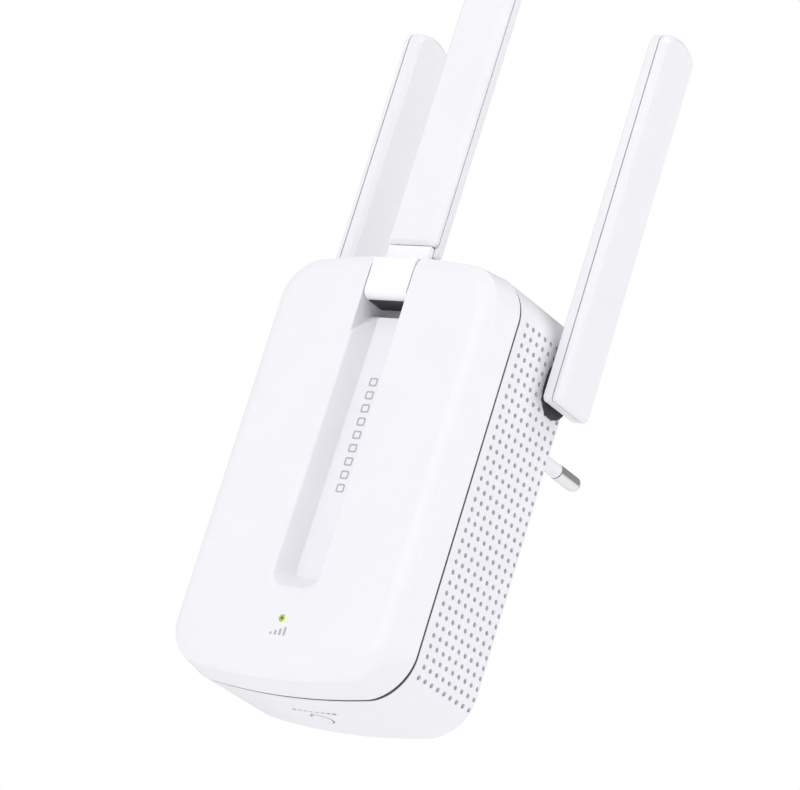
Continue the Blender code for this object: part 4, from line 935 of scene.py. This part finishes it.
def make_stage():
    """A pale floor far enough below for the low camera."""
    bm = bmesh.new()
    bmesh.ops.create_grid(bm, x_segments=1, y_segments=1, size=6.0)
    mesh = bpy.data.meshes.new("floor")
    bm.to_mesh(mesh)
    bm.free()
    floor = bpy.data.objects.new("floor", mesh)
    bpy.context.scene.collection.objects.link(floor)
    floor.location = (0.0, 0.0, BOTTOM_Z - 0.24)
    pale, tree, shader = principled("floor_look", (0.86, 0.86, 0.87), 0.75)
    shader.inputs["Emission Color"].default_value = (1.0, 1.0, 1.0, 1.0)
    shader.inputs["Emission Strength"].default_value = 0.20
    mesh.materials.append(pale)


def area_light(name, place, target, width, power):
    """A square soft box that faces a point."""
    data = bpy.data.lights.new(name, "AREA")
    data.size = width
    data.energy = power
    lamp = bpy.data.objects.new(name, data)
    lamp.location = place
    lamp.rotation_euler = (Vector(target) - Vector(place)).to_track_quat("-Z", "Y").to_euler()
    bpy.context.scene.collection.objects.link(lamp)


def make_light():
    """Soft studio light: pale surroundings with a dark strip behind, and boxes in front and beside."""
    world = bpy.data.worlds.new("studio")
    world.use_nodes = True
    tree = world.node_tree
    shown = tree.nodes["Background"]
    shown.inputs["Color"].default_value = (1.0, 1.0, 1.0, 1.0)
    lit = node(tree, "ShaderNodeBackground", Strength=0.82)
    place = tree.nodes.new("ShaderNodeTexCoord")
    axes = tree.nodes.new("ShaderNodeSeparateXYZ")
    span = node(tree, "ShaderNodeMapRange", From_Min=-1.0, From_Max=1.0)
    ramp = tree.nodes.new("ShaderNodeValToRGB")
    stops = ramp.color_ramp.elements
    stops[0].position = 0.40
    stops[1].position = 0.82
    for position in (0.84, 0.88, 0.90):
        stops.new(position)
    for stop, level in zip(stops, (1.0, 0.84, 0.10, 0.10, 0.90)):
        stop.color = (level, level, level, 1.0)
    path = tree.nodes.new("ShaderNodeLightPath")
    mix = tree.nodes.new("ShaderNodeMixShader")
    tree.links.new(place.outputs["Generated"], axes.inputs["Vector"])
    tree.links.new(axes.outputs["Y"], span.inputs["Value"])
    tree.links.new(span.outputs["Result"], ramp.inputs["Fac"])
    tree.links.new(ramp.outputs["Color"], lit.inputs["Color"])
    tree.links.new(path.outputs["Is Camera Ray"], mix.inputs["Fac"])
    tree.links.new(lit.outputs["Background"], mix.inputs[1])
    tree.links.new(shown.outputs["Background"], mix.inputs[2])
    tree.links.new(mix.outputs["Shader"], tree.nodes["World Output"].inputs["Surface"])
    bpy.context.scene.world = world
    bpy.context.scene.view_settings.view_transform = "Standard"
    target = (0.0, -0.04, -0.01)
    area_light("front_box", (-0.15, -1.2, 0.45), target, 0.9, 3.55)
    area_light("side_box", (1.1, 0.40, 0.3), target, 0.8, 2.2)
    area_light("top_box", (0.7, 0.0, 0.9), target, 0.5, 1.7)


def make_camera():
    """The photographer's place: low on the right, with the camera rolled."""
    azimuth = math.radians(39.22)
    elevation = math.radians(-16.68)
    roll = math.radians(17.28)
    back = Vector((math.sin(azimuth) * math.cos(elevation),
                   -math.cos(azimuth) * math.cos(elevation), math.sin(elevation)))
    right = Vector((math.cos(azimuth), math.sin(azimuth), 0.0))
    up = back.cross(right)
    rolled_right = right * math.cos(roll) + up * math.sin(roll)
    rolled_up = up * math.cos(roll) - right * math.sin(roll)
    turn = Matrix((rolled_right, rolled_up, back)).transposed()
    data = bpy.data.cameras.new("camera")
    data.lens = 179.55
    data.sensor_width = 36.0
    data.clip_start = 0.05
    data.clip_end = 50.0
    camera = bpy.data.objects.new("camera", data)
    camera.matrix_world = Matrix.LocRotScale(Vector((0.57687, -0.75373, -0.27774)),
                                             turn.to_quaternion(), None)
    bpy.context.scene.collection.objects.link(camera)
    bpy.context.scene.camera = camera


make_camera()
make_light()
make_stage()
make_front_cover()
make_rear_tray()
make_seam_shade_strip()
make_vent_shade_sheets()
make_middle_antenna()
make_side_antennas()
make_hinge_block()
make_hinge_shade_pad()
make_hub_shadow_pads()
make_marks()
dress_solids()
